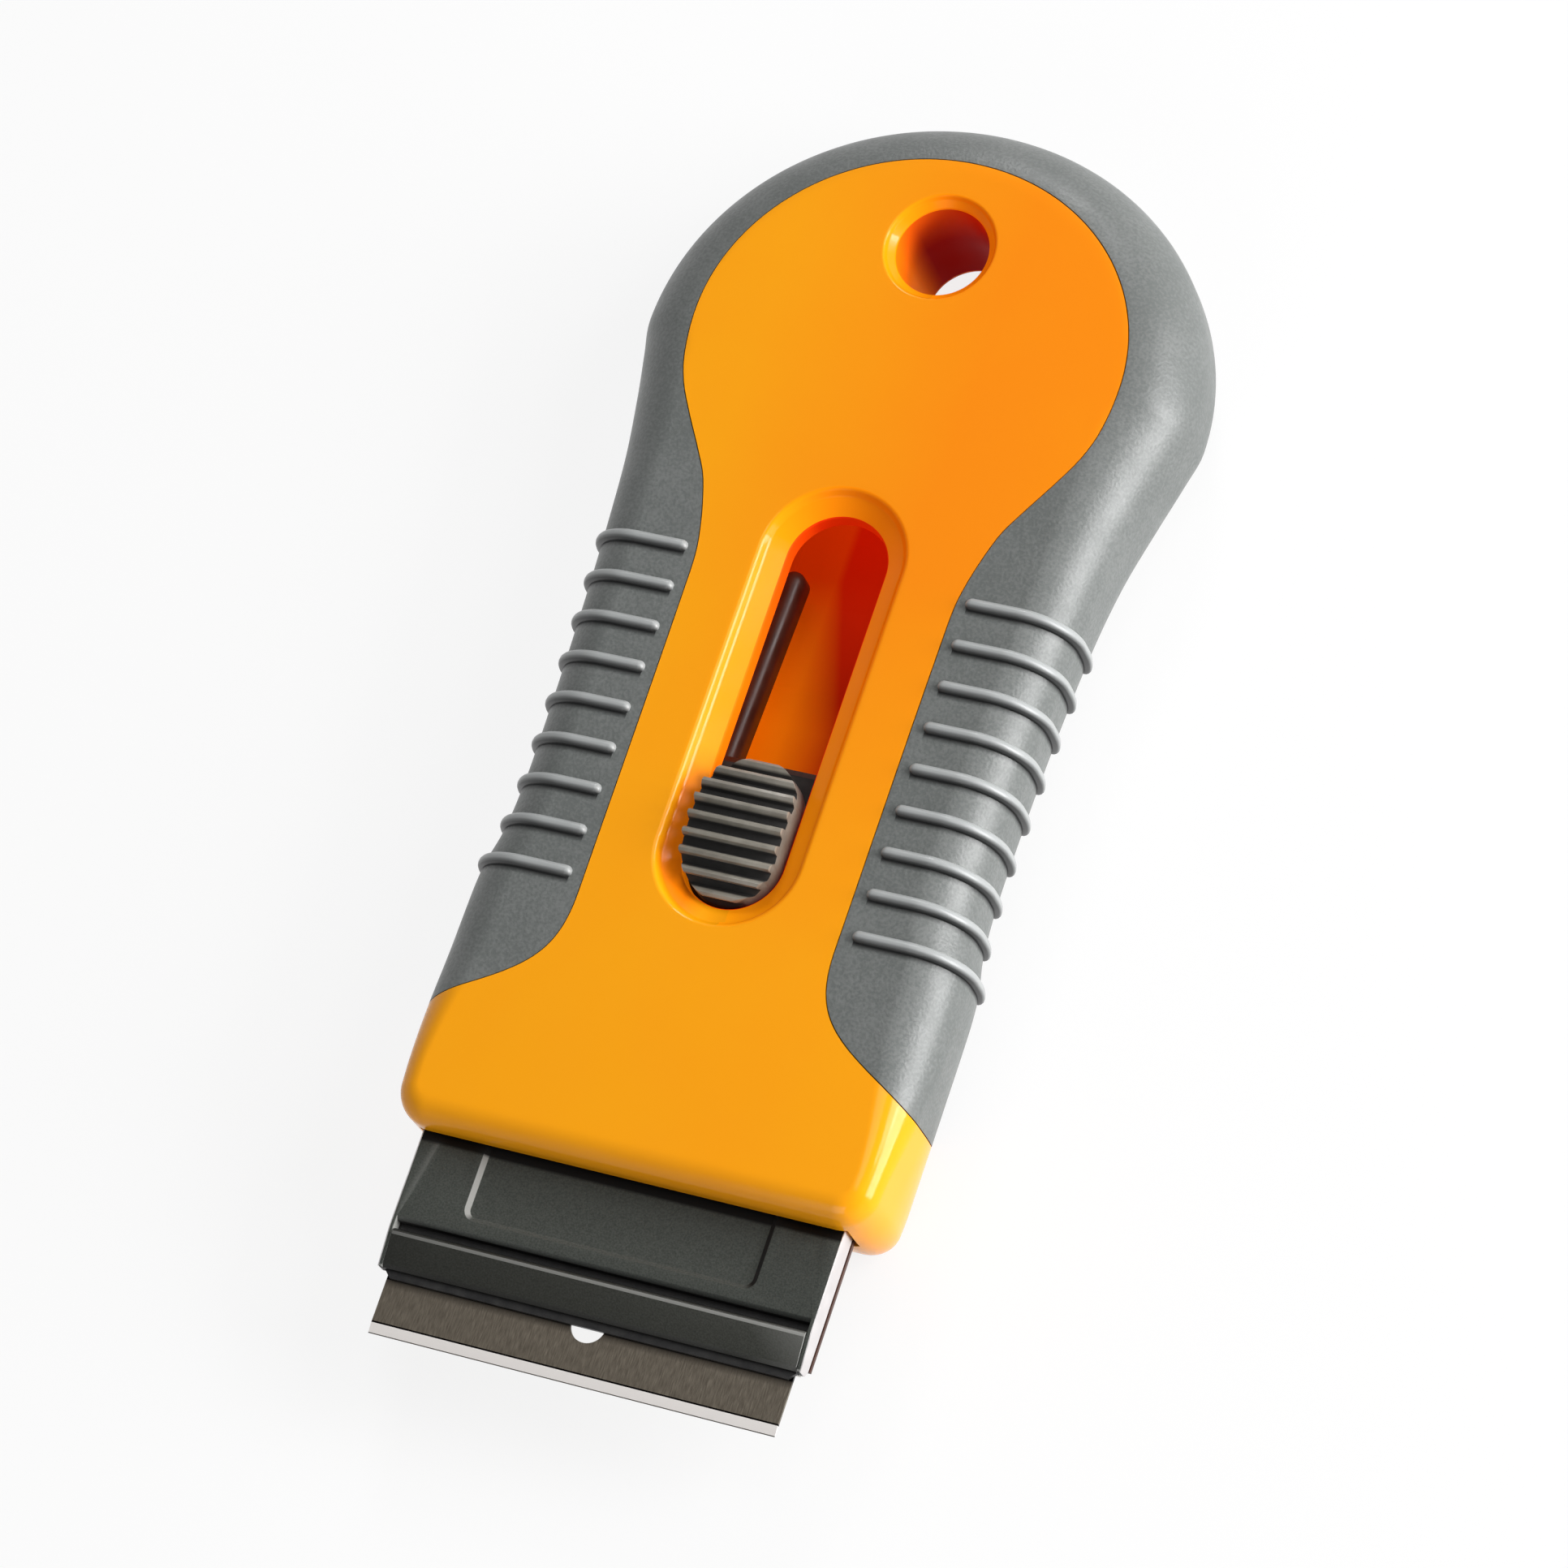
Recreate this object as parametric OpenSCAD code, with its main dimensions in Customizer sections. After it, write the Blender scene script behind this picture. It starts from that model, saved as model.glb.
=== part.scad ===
// Razor blade scraper with a retracting holder for a 39 mm single edge blade.
// It lies on its back: +Z is up out of the face, the blade points along -Y, the head along +Y.
// The origin is on the resting plane, under the middle of the overall length.
// Places along the handle are given as distances from its front face, the one with the mouth.

/* [Handle] */
// Length of the handle from its front face to the end of the head
body_l = 105.6; // [100:0.1:120]
// Thickness of the handle
body_t = 14.2; // [13.8:0.1:17]
// Width beside the mouth
front_w = 46; // [45.4:0.1:52]
// Width where the front flares out, just ahead of the ribs
flare_w = 47.6; // [47:0.1:54]
// Width of the waist, in the middle of the ribs
waist_w = 45.2; // [45:0.1:50]
// Width across the round head
head_w = 54.2; // [53:0.1:62]
// Distance from the centre of the round head to its end
head_end_l = 25; // [23:0.5:28]
// Radius of the upright corners beside the mouth
corner_r = 3.4; // [3.2:0.1:4.5]
// Rounding of the upper edge over the mouth
front_edge_r = 2.4; // [2:0.1:2.6]
// Rounding of the upper edge along the waist
waist_edge_r = 4.8; // [3.8:0.1:5]
// Rounding of the upper edge round the head
head_edge_r = 6.6; // [5.6:0.1:7]
// Rounding of the lower edge under the mouth, seen from above
front_under_w = 2.3; // [2:0.1:2.4]
// Rounding of the lower edge under the mouth, seen from the side
front_under_h = 8.5; // [7:0.1:9]
// Rounding of the lower edge along the waist, seen from above
waist_under_w = 5.8; // [5:0.1:6]
// Rounding of the lower edge along the waist, seen from the side
waist_under_h = 8; // [6:0.1:8.4]
// Rounding of the lower edge round the head
head_under_r = 5.6; // [4.5:0.1:6]
// Thickness of the roof over the blade holder
roof_t = 3.2; // [3:0.1:3.6]

/* [Rear cover] */
// Thickness of the rear cover
cover_t = 1.8; // [1.5:0.1:2.2]
// Flat rim left round the rear cover
cover_rim_w = 0.7; // [0.5:0.1:1]
// Gap all round the rear cover
cover_gap = 0.15; // [0.1:0.05:0.25]
// Radius of the head of a cover screw
screw_head_r = 2.2; // [2:0.1:2.3]
// Radius of the shank of a cover screw
screw_r = 1.2; // [1:0.1:1.4]
// Length of a cover screw
screw_l = 7.5; // [6:0.5:8]

/* [Rubber grip] */
// Thickness of the rubber over the shell
grip_t = 1.2; // [1:0.1:1.3]
// Number of ribs on each side
rib_count = 9; // [6:1:10]
// Distance from rib to rib
rib_pitch = 4.06; // [3.6:0.02:4.2]
// Distance from the front face to the first rib
rib_start = 25.2; // [24:0.1:27]
// Height of a rib, which is half round
rib_r = 0.6; // [0.4:0.02:0.7]
// Distance from the middle of the face to where the ribs begin
rib_inner_x = 14.15; // [13.5:0.05:15]

/* [Face] */
// Width of the hard face between the ribs
face_waist_w = 24.7; // [23:0.1:26]
// Width of the hard face in the head
face_head_w = 41.6; // [40:0.1:43]
// Distance from the centre of the face in the head to its end
face_end_l = 19.2; // [18:0.1:20]
// Distance from the front face to where the hard face reaches the sides
seam_side_d = 9.9; // [9:0.1:12]
// Distance from the front face to where the rubber reaches its full width
seam_waist_d = 23.5; // [22:0.1:26]

/* [Slot] */
// Width of the slot for the thumb button
slot_w = 9.5; // [9.4:0.1:10.5]
// Length of the slot
slot_l = 38.6; // [38.4:0.1:41]
// Distance from the front face to the front end of the slot
slot_d = 25.55; // [25:0.05:26.5]
// Width of the sunken rim round the slot
rim_w = 14.4; // [13.6:0.1:15.4]
// Depth of the sunken rim below the face
rim_depth = 2.2; // [1.6:0.1:2.3]

/* [Hanging hole] */
// Diameter of the hanging hole
hang_d = 8.8; // [7:0.1:10]
// Distance from the end of the head to the centre of the hanging hole
hang_end_l = 14.3; // [13.6:0.1:16]
// Rounding of the hole's rims
hang_round_r = 1; // [0.5:0.1:1.4]

/* [Blade] */
// Length of the cutting edge
blade_w = 39; // [36:0.5:39.2]
// Width of the blade from its edge to its back
blade_l = 19; // [18:0.5:19.5]
// Thickness of the blade
blade_t = 0.3; // [0.25:0.05:0.4]
// Width of the ground bevel
bevel_w = 1; // [0.6:0.1:1.6]
// Distance from the front face to the cutting edge
blade_reach = 18.5; // [17.5:0.5:19.5]
// Radius of the round hole near the edge
blade_hole_r = 1.65; // [1:0.05:2]
// Distance from the cutting edge to that hole
blade_hole_d = 5.5; // [4:0.1:5.8]

/* [Blade holder] */
// Width of the blade holder
holder_w = 40.6; // [40.3:0.1:41]
// Distance from the front face to the front of the clamp bar
holder_reach = 12.7; // [12:0.1:13]
// Length of the clamp bar from front to back
bar_l = 3.6; // [3:0.1:4]
// Width of the groove between the clamp bar and the clamp plate
groove_w = 0.75; // [0.5:0.05:1]
// Thickness of the clamp plate
plate_t = 1.2; // [1:0.1:1.3]
// Thickness of the upper jaw
upper_jaw_t = 0.4; // [0.3:0.05:0.6]
// Thickness of the lower jaw
lower_jaw_t = 0.5; // [0.4:0.05:0.6]
// Height of the side flanges of the clamp plate
flange_h = 2.4; // [2:0.1:2.8]
// Thickness of the side flanges
flange_t = 0.4; // [0.3:0.05:0.5]
// Width of the sunken panel in the clamp plate
panel_w = 27.2; // [24:0.1:30]
// Depth of the sunken panel
panel_depth = 0.3; // [0.2:0.05:0.4]

/* [Carrier] */
// Distance that the blade holder retracts
slide_travel = 24; // [20:0.5:24]
// Thickness of the carrier's sled
sled_t = 2.6; // [2.2:0.1:3]
// Thickness of the tongue under the jaws
tongue_t = 0.55; // [0.5:0.05:0.7]
// Distance between the two prongs where they leave the sled
prong_root_gap = 10; // [9.6:0.1:10.4]
// Distance between the two prongs at their tips
prong_tip_gap = 8.8; // [8.4:0.1:9.6]
// Width of a prong
prong_w = 2.2; // [1.8:0.1:2.4]
// Distance from the front face to the tips of the prongs
prong_tip_d = 60.1; // [58:0.1:61]

/* [Thumb button] */
// Length of the thumb button
button_l = 13.8; // [13:0.1:14]
// Width of the thumb button
button_w = 9; // [8.4:0.1:9]
// Height of the thumb button over the face
button_h = 1.4; // [1.2:0.1:2]
// Drop of the button's top from its middle to its ends
button_crown = 2.4; // [1.6:0.1:2.8]
// Number of ridges on the thumb button
ridge_count = 9; // [7:2:9]
// Distance from ridge to ridge, along the curved top
ridge_pitch = 1.75; // [1.6:0.05:1.8]
// Depth of the grooves between the ridges
ridge_h = 0.95; // [0.6:0.05:1.1]
// Distance that the button presses down to unlock the slide
press_travel = 1; // [0.8:0.1:1.1]

/* [Hidden] */

// Colours, as the plastic, rubber and steel look
orange = [0.98, 0.56, 0.08];
rubber_gray = [0.38, 0.40, 0.41];
button_gray = [0.33, 0.32, 0.30];
holder_gray = [0.30, 0.32, 0.30];
jaw_black = [0.10, 0.10, 0.10];
carrier_brown = [0.24, 0.20, 0.17];
steel = [0.62, 0.60, 0.57];
bright_steel = [0.80, 0.80, 0.80];

// One overrun serves all cuts, and the smoothness of round shapes is set here
over = 1.3;
tiny = 0.000001;
round_fn = 64;
hull_fn = 20;
edge_steps = 6;
corner_steps = 4;
side_steps = 2;
head_steps = 12;
seam_steps = 8;
dome_steps = 6;
rib_fn = 8;
rib_arc_steps = 6;

// Levels and places that the driving sizes fix
front_y = (blade_reach - body_l) / 2;
head_c = body_l - head_end_l;
hang_from_front = body_l - hang_end_l;
roof_z = body_t - roof_t;
slide_gap = 0.3;
holder_gap = 0.4;
holder_top = roof_z - holder_gap;
upper_jaw_top = holder_top - plate_t;
blade_top = upper_jaw_top - upper_jaw_t;
lower_jaw_top = blade_top - blade_t;
carrier_top = lower_jaw_top - lower_jaw_t;
shadow_gap = 0.35;
tongue_z = carrier_top - shadow_gap - tongue_t;
sled_z = carrier_top - sled_t;
wing_z = tongue_z - shadow_gap;
mouth_z = wing_z - slide_gap;
side_gap = 0.3;
channel_w = holder_w + 2 * side_gap;

// Mixes two values, and runs a smooth curve through stations of [place, value]
function mix(a, b, t) = a + (b - a) * t;
function slope(t, i) = i == 0 ? (t[1][1] - t[0][1]) / (t[1][0] - t[0][0])
    : i == len(t) - 1 ? 0
    : (t[i + 1][1] - t[i - 1][1]) / (t[i + 1][0] - t[i - 1][0]);
function span_at(t, s, i = 0) = i >= len(t) - 2 || s <= t[i + 1][0] ? i : span_at(t, s, i + 1);
function blend(t, i, h, u) =
    (2 * u ^ 3 - 3 * u ^ 2 + 1) * t[i][1] + (u ^ 3 - 2 * u ^ 2 + u) * h * slope(t, i)
    + (3 * u ^ 2 - 2 * u ^ 3) * t[i + 1][1] + (u ^ 3 - u ^ 2) * h * slope(t, i + 1);
function curve(t, s) =
    let (i = span_at(t, s), h = t[i + 1][0] - t[i][0]) blend(t, i, h, (s - t[i][0]) / h);

// Sides of the handle: where along it, and how far from one width to the next
flare_shares = [[0.118, 0.85], [0.204, 1]];
waist_shares = [[0.239, 0.17], [0.270, 0.72], [0.308, 0.97], [0.348, 1]];
head_shares = [[0.455, 0.06], [0.550, 0.178], [0.625, 0.357], [0.687, 0.63], [0.729, 0.845]];
side_stations = concat(
    [[corner_r, front_w / 2]],
    [for (p = flare_shares) [p[0] * body_l, mix(front_w, flare_w, p[1]) / 2]],
    [for (p = waist_shares) [p[0] * body_l, mix(flare_w, waist_w, p[1]) / 2]],
    [for (p = head_shares) [p[0] * body_l, mix(waist_w, head_w, p[1]) / 2]],
    [[head_c, head_w / 2]]
);
function side_x(s) = curve(side_stations, s);

// Edge rounding along the handle: a round upper edge, and a taller, elliptical lower one
edge_front_shares = [0, 0.05];
edge_waist_shares = [0.17, 0.56];
edge_head_shares = [0.74, 1];
function edge_table(front, waist, head) = concat(
    [for (p = edge_front_shares) [p * body_l, front]],
    [for (p = edge_waist_shares) [p * body_l, waist]],
    [for (p = edge_head_shares) [p * body_l, head]]
);
upper_stations = edge_table(front_edge_r, waist_edge_r, head_edge_r);
under_w_stations = edge_table(front_under_w, waist_under_w, head_under_r);
under_h_stations = edge_table(front_under_h, waist_under_h, head_under_r);
function upper_r(s) = curve(upper_stations, s);
function under_w(s) = curve(under_w_stations, s);
function under_h(s) = curve(under_h_stations, s);

// Right half of the outline from the mouth round to the end of the head: [x, along, normal x, normal y]
corner_half = [
    for (i = [0:corner_steps]) let (a = 90 * i / corner_steps)
        [front_w / 2 - corner_r * (1 - sin(a)), corner_r * (1 - cos(a)), sin(a), -cos(a)]
];
side_half = [
    for (i = [0:len(side_stations) - 2], k = [1:side_steps])
        let (
            s = mix(side_stations[i][0], side_stations[i + 1][0], k / side_steps),
            step = body_l / 1000,
            lean = atan((side_x(s + step) - side_x(s - step)) / (2 * step))
        )
        if (i < len(side_stations) - 2 || k < side_steps) [side_x(s), s, cos(lean), -sin(lean)]
];
head_half = [
    for (i = [0:head_steps])
        let (a = 90 * i / head_steps, n = [cos(a) / head_w * 2, sin(a) / head_end_l])
        [head_w / 2 * cos(a), head_c + head_end_l * sin(a), n[0] / norm(n), n[1] / norm(n)]
];
half_outline = concat(corner_half, side_half, head_half);
apex = len(half_outline) - 1;
ring_n = 2 * apex + 1;

// The whole outline drawn in by a distance, as points in the part's own frame
function drawn_in(p, d) = [i_clean(p[0] - d * p[2]), front_y + p[1] - d * p[3]];
function i_clean(x) = abs(x) < tiny ? 0 : x;
function around(half) = concat(half, [for (i = [apex - 1:-1:0]) [-half[i][0], half[i][1]]]);
function inset_outline(extra) = around([for (p = half_outline) drawn_in(p, under_w(p[1]) + extra)]);

// One level of the rounded skin: it starts `inset` inside the handle's own surface
function level_half(inset, a, top) = [
    for (p = half_outline)
        let (
            w = (top ? upper_r(p[1]) : under_w(p[1])) - inset,
            h = (top ? upper_r(p[1]) : under_h(p[1])) - inset,
            q = drawn_in(p, inset + w * (1 - sin(a))),
            z = inset + h * (1 - cos(a))
        )
        [q[0], q[1], top ? body_t - z : z]
];
function level(inset, a, top) =
    let (half = level_half(inset, a, top))
    concat(half, [for (i = [apex - 1:-1:0]) [-half[i][0], half[i][1], half[i][2]]]);

// Faces of a stack of rings: the bands between them, and the two flat caps
function band_faces(n, rings) = [
    for (k = [0:rings - 2], i = [0:n - 1], half = [0, 1])
        let (a = k * n + i, b = k * n + (i + 1) % n)
        half == 0 ? [a, a + n, b] : [b, a + n, b + n]
];
function cap_faces(first, up) = [
    for (i = [0:apex - 1], half = [0, 1])
        let (l = ring_n - 1 - i, near = [first + i, first + l], far = [first + i + 1, first + l - 1])
        if (half == 0 || i < apex - 1)
            let (t = half == 0 ? [near[0], far[0], near[1]] : [near[1], far[0], far[1]])
            up ? [t[2], t[1], t[0]] : t
];

module skin(inset) {
    angles = [for (k = [0:edge_steps]) 90 * k / edge_steps];
    rings = concat(
        [for (a = angles) level(inset, a, false)],
        [for (k = [edge_steps:-1:0]) level(inset, angles[k], true)]
    );
    polyhedron(
        points = [for (r = rings) each r],
        faces = concat(
            band_faces(ring_n, len(rings)),
            cap_faces(0, false),
            cap_faces((len(rings) - 1) * ring_n, true)
        )
    );
}

// Plan of everything hard and orange: the front, and the window that the rubber leaves in the face
face_blend_shares = [
    [0.511, 0.02], [0.554, 0.05], [0.611, 0.24], [0.639, 0.43],
    [0.668, 0.65], [0.696, 0.84], [0.724, 0.95]
];
face_c_share = 0.766;
face_c = body_l * face_c_share;
face_stations = concat(
    [[seam_waist_d, face_waist_w / 2]],
    [for (p = face_blend_shares) [p[0] * body_l, mix(face_waist_w, face_head_w, p[1]) / 2]],
    [[face_c, face_head_w / 2]]
);
// The seam leaves the waist straight, and sweeps out over the side
seam_pull_shares = [0.53, 0.60, 0.27];
seam_end = [flare_w / 2 + over, seam_side_d];
seam_points = [
    [face_waist_w / 2, seam_waist_d],
    [face_waist_w / 2, mix(seam_waist_d, seam_side_d, seam_pull_shares[0])],
    [mix(face_waist_w / 2, seam_end[0], seam_pull_shares[2]),
        mix(seam_waist_d, seam_side_d, seam_pull_shares[1])],
    seam_end
];
function bezier(p, t) =
    (1 - t) ^ 3 * p[0] + 3 * (1 - t) ^ 2 * t * p[1] + 3 * (1 - t) * t ^ 2 * p[2] + t ^ 3 * p[3];
hard_half = concat(
    [[head_w, -over], [head_w, seam_side_d]],
    [for (k = [0:seam_steps]) bezier(seam_points, 1 - k / seam_steps)],
    [
        for (i = [0:len(face_stations) - 2], k = [1:side_steps])
            let (s = mix(face_stations[i][0], face_stations[i + 1][0], k / side_steps))
            [curve(face_stations, s), s]
    ],
    [
        for (i = [1:head_steps]) let (a = 90 * i / head_steps)
            [i_clean(face_head_w / 2 * cos(a)), face_c + face_end_l * sin(a)]
    ]
);
hard_plan = concat(
    hard_half,
    [for (i = [len(hard_half) - 2:-1:0]) [-hard_half[i][0], hard_half[i][1]]]
);

module hard_prism() {
    translate([0, front_y, -over])
        linear_extrude(height = body_t + 2 * over) polygon(hard_plan);
}

module along(s, x = 0, z = 0) {
    translate([x, front_y + s, z]) children();
}

module both_sides() {
    children();
    mirror([1, 0, 0]) children();
}

// Slot: a stadium whose wall steps out to a sunken, softly rounded rim
slot_r = slot_w / 2;
rim_r = rim_w / 2;
rim_round_r = 0.8;
rim_round_sweep = 56;
rim_ledge_w = 0.45;
rim_ledge_rise = 0.25;
rim_ledge_z = body_t - rim_depth;
slot_mid = slot_l / 2 - slot_r;
rim_profile = concat(
    [[0, roof_z - over], [slot_r, roof_z - over], [slot_r, rim_ledge_z],
        [slot_r + rim_ledge_w, rim_ledge_z + rim_ledge_rise]],
    [
        for (k = [0:dome_steps]) let (a = rim_round_sweep * (1 - k / dome_steps))
            [rim_r - rim_round_r * sin(a), body_t - rim_round_r * (1 - cos(a))]
    ],
    [[rim_r, body_t + over], [0, body_t + over]]
);

module slot_cut() {
    along(slot_d + slot_l / 2) {
        translate([0, slot_mid, 0])
            rotate_extrude(angle = 180, $fn = round_fn) polygon(rim_profile);
        rotate([0, 0, 180]) translate([0, slot_mid, 0])
            rotate_extrude(angle = 180, $fn = round_fn) polygon(rim_profile);
        both_sides() translate([0, slot_mid, 0]) rotate([90, 0, 0])
            linear_extrude(height = 2 * slot_mid) polygon(rim_profile);
    }
}

// Hanging hole with rounded rims, and the tube that carries it through the hollow
hang_r = hang_d / 2;
tube_wall = 1.8;
tube_r = hang_r + tube_wall;
hang_profile = concat(
    [[0, -over], [hang_r + hang_round_r, -over]],
    [
        for (k = [0:dome_steps]) let (a = 90 * k / dome_steps)
            [hang_r + hang_round_r * (1 - sin(a)), hang_round_r * (1 - cos(a))]
    ],
    [
        for (k = [dome_steps:-1:0]) let (a = 90 * k / dome_steps)
            [hang_r + hang_round_r * (1 - sin(a)), body_t - hang_round_r * (1 - cos(a))]
    ],
    [[hang_r + hang_round_r, body_t + over], [0, body_t + over]]
);

// Screws and the bosses that they bite into
screw_x = 13.2;
front_screw_d = 38;
screw_to_hole = 7.3;
screw_ds = [front_screw_d, hang_from_front - screw_to_hole];
boss_r = 2.6;
boss_rise = 1.4;
boss_z = cover_t + boss_rise;
pilot_gap = 0.05;
screw_head_h = 1.3;
screw_recess = 0.4;
screw_tip_h = 1;
cross_l = 2.8;
cross_w = 0.6;
cross_depth = 0.8;

// Lugs of the button, and the notches over them at both ends of the slide
button_lead = 0.1;
button_d = slot_d + (slot_w - button_w) / 2 + button_lead;
lug_gap = 0.15;
lug_w = 13.4;
lug_l = 4;
lug_inset = 1.2;
notch_depth = 0.5;
notch_w = 1.2;

// Tabs at the front of the rear cover, and the pockets that hold them
tab_x = 11;
tab_w = 5;
tab_l = 1.1;
tab_t = 1;

// The blade holder ends behind the mouth, and the carrier's wings behind it slide in a channel
holder_back = 4;
wing_l = 4.7;
wing_back = holder_back + wing_l;
front_wall_l = front_under_w + cover_rim_w - cover_gap;
wing_w = 38.6;

module cover_tabs(gap) {
    tab_d = front_under_w + cover_rim_w - tab_l;
    both_sides() along(tab_d - gap, tab_x - tab_w / 2 - gap, cover_t - tab_t - gap)
        cube([tab_w + 2 * gap, tab_l + over, tab_t + 2 * gap]);
}

module screw_posts(r, from, to) {
    both_sides() for (s = screw_ds) along(s, screw_x, from)
        cylinder(r = r, h = to - from, $fn = round_fn);
}

// Handle: the deep orange shell, with the face, the sides, the mouth and the tube of the hanging hole
module front_shell() color(orange) {
    difference() {
        union() {
            difference() {
                union() {
                    skin(grip_t);
                    intersection() {
                        skin(0);
                        hard_prism();
                    }
                }
                translate([0, 0, -over]) linear_extrude(height = roof_z + over)
                    polygon(inset_outline(cover_rim_w - cover_gap));
                centred_block(channel_w, -over, slide_travel + holder_back + slide_gap, mouth_z, roof_z);
                centred_block(wing_w + 2 * side_gap, 0, slide_travel + wing_back + slide_gap, mouth_z,
                    roof_z);
            }
            along(hang_from_front) cylinder(r = tube_r, h = roof_z + over, $fn = round_fn);
            screw_posts(boss_r, boss_z, roof_z + over);
        }
        slot_cut();
        along(hang_from_front) rotate_extrude($fn = round_fn) polygon(hang_profile);
        screw_posts(screw_r + pilot_gap, boss_z - over, boss_z + screw_l);
        for (s = [0, slide_travel]) both_sides()
            along(button_d + lug_inset + s, lug_w / 2 - notch_w, roof_z - over)
                cube([notch_w + over, lug_l, notch_depth + over]);
        cover_tabs(cover_gap);
    }
}

// Flat rear cover: two rails carry the sled, two more guide the prongs and hold their detents
rail_t = 1.2;
sled_rail_x = 8.6;
rail_from = 4.8;
rail_top = sled_z - slide_gap;
detent_rail_x = 8;
detent_rail_t = 1.6;
detent_rail_drop = 0.4;
detent_rail_top = carrier_top - detent_rail_drop;
detent_rail_lead = 9.1;
detent_rail_trail = 1.4;
detent_rail_from = prong_tip_d - detent_rail_lead;
detent_rail_to = prong_tip_d + slide_travel + detent_rail_trail;
rail_overlap = 13;
rail_to = detent_rail_from + rail_overlap;
detent_depth = 0.6;
bump_r = 1.3;
bump_gap = 0.1;
bump_back = 2;

module detent_rail() {
    foot_z = cover_t - rail_t / 2;
    along(detent_rail_from, detent_rail_x, foot_z)
        cube([detent_rail_t, detent_rail_to - detent_rail_from, detent_rail_top - foot_z]);
}

module rear_cover() color(orange) {
    difference() {
        union() {
            linear_extrude(height = cover_t) polygon(inset_outline(cover_rim_w));
            cover_tabs(0);
            screw_posts(boss_r, 0, boss_z);
            both_sides() {
                along(rail_from, sled_rail_x, cover_t - rail_t / 2)
                    cube([rail_t, rail_to - rail_from, rail_top - cover_t + rail_t / 2]);
                detent_rail();
            }
        }
        screw_posts(screw_head_r + cover_gap, -over, screw_recess + screw_head_h);
        screw_posts(screw_r + cover_gap, -over, boss_z + over);
        along(hang_from_front, 0, -over)
            cylinder(r = tube_r + cover_gap, h = cover_t + 2 * over, $fn = round_fn);
        for (s = [0, slide_travel]) both_sides()
            along(prong_tip_d - bump_back + s, bump_x, cover_t)
                cylinder(r = bump_r + detent_depth, h = body_t, $fn = round_fn);
    }
}

// Soft rubber over the sides and the head, with half round ribs running over the shoulders
rib_under_angles = [0, 13, 26];
upward = 90;
rib_end_shares = [[0.87, 0.5], [0.5, 0.87]];

module rib(s) {
    x = side_x(s);
    r = upper_r(s);
    w = under_w(s);
    h = under_h(s);
    low = [
        for (a = rib_under_angles) [x - w + w * cos(a), h - h * sin(a), atan2(-sin(a) / h, cos(a) / w), 1]
    ];
    tip = low[len(low) - 1];
    path = concat(
        [for (p = rib_end_shares) [rib_inner_x - rib_r * p[0], body_t, upward, p[1]]],
        [[rib_inner_x, body_t, upward, 1]],
        [
            for (k = [0:rib_arc_steps]) let (a = 90 - 90 * k / rib_arc_steps)
                [x - r + r * cos(a), body_t - r + r * sin(a), a, 1]
        ],
        low,
        [
            for (k = [1, 0]) let (p = rib_end_shares[k], l = rib_r * p[0])
                [tip[0] + l * sin(tip[2]), tip[1] - l * cos(tip[2]), tip[2], p[1]]
        ]
    );
    points = [
        for (p = path, k = [0:rib_fn - 1])
            let (a = 360 * k / rib_fn, out = rib_r * p[3] * cos(a))
            [p[0] + out * cos(p[2]), front_y + s + rib_r * p[3] * sin(a), p[1] + out * sin(p[2])]
    ];
    last = (len(path) - 1) * rib_fn;
    polyhedron(
        points = points,
        faces = concat(
            [for (f = band_faces(rib_fn, len(path))) [f[2], f[1], f[0]]],
            [[for (k = [rib_fn - 1:-1:0]) k], [for (k = [0:rib_fn - 1]) last + k]]
        )
    );
}

module grip_overmould() color(rubber_gray) {
    difference() {
        union() {
            skin(0);
            both_sides() for (k = [0:rib_count - 1]) rib(rib_start + k * rib_pitch);
        }
        skin(grip_t);
        hard_prism();
        translate([0, 0, -over]) linear_extrude(height = over + grip_t)
            polygon(inset_outline(cover_rim_w - cover_gap));
    }
}

module cover_screws() color(bright_steel) {
    both_sides() for (s = screw_ds) along(s, screw_x, screw_recess) difference() {
        union() {
            cylinder(r = screw_head_r, h = screw_head_h, $fn = round_fn);
            cylinder(r = screw_r, h = screw_head_h + screw_l - screw_tip_h, $fn = round_fn);
            translate([0, 0, screw_head_h + screw_l - screw_tip_h])
                cylinder(r1 = screw_r, r2 = screw_r / 4, h = screw_tip_h, $fn = round_fn);
        }
        for (a = [0, 90]) rotate([0, 0, a]) translate([-cross_l / 2, -cross_w / 2, -over])
            cube([cross_l, cross_w, over + cross_depth]);
    }
}

// Carrier: a tongue under the jaws, a winged sled, the button's seat and two springy prongs
tongue_setback = 0.7;
pad_w = 30;
neck_w = 20;
seat_w = 14.6;
seat_lead = 1.5;
seat_trail = 1.3;
seat_back = button_d + button_l + seat_trail;
seat_rise = 0.2;
seat_top = carrier_top + seat_rise;
bump_x = detent_rail_x - bump_gap - bump_r;
leg_x = 2.6;
leg_t = 1.2;
leg_l = 7;
leg_gap = 0.15;
spring_w = 3.6;
spring_l = 9.2;
spring_t = 0.3;
spring_floor_t = 0.8;
spring_floor = sled_z + spring_floor_t;
spring_gap = 0.2;
button_mid = button_d + button_l / 2;

module centred_block(w, from, to, z0, z1) {
    along(from, -w / 2, z0) cube([w, to - from, z1 - z0]);
}

module prong() {
    r = prong_w / 2;
    root = [prong_root_gap / 2 + r, seat_back - r];
    tip = [prong_tip_gap / 2 + r, prong_tip_d - r];
    hull() for (p = [root, tip]) along(p[1], p[0]) {
        translate([0, 0, sled_z]) cylinder(r = r, h = sled_t / 2, $fn = hull_fn);
        translate([0, 0, carrier_top - r]) sphere(r = r, $fn = hull_fn);
    }
    along(prong_tip_d - bump_back, bump_x, sled_z)
        cylinder(r = bump_r, h = sled_t - r, $fn = round_fn);
}

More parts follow.
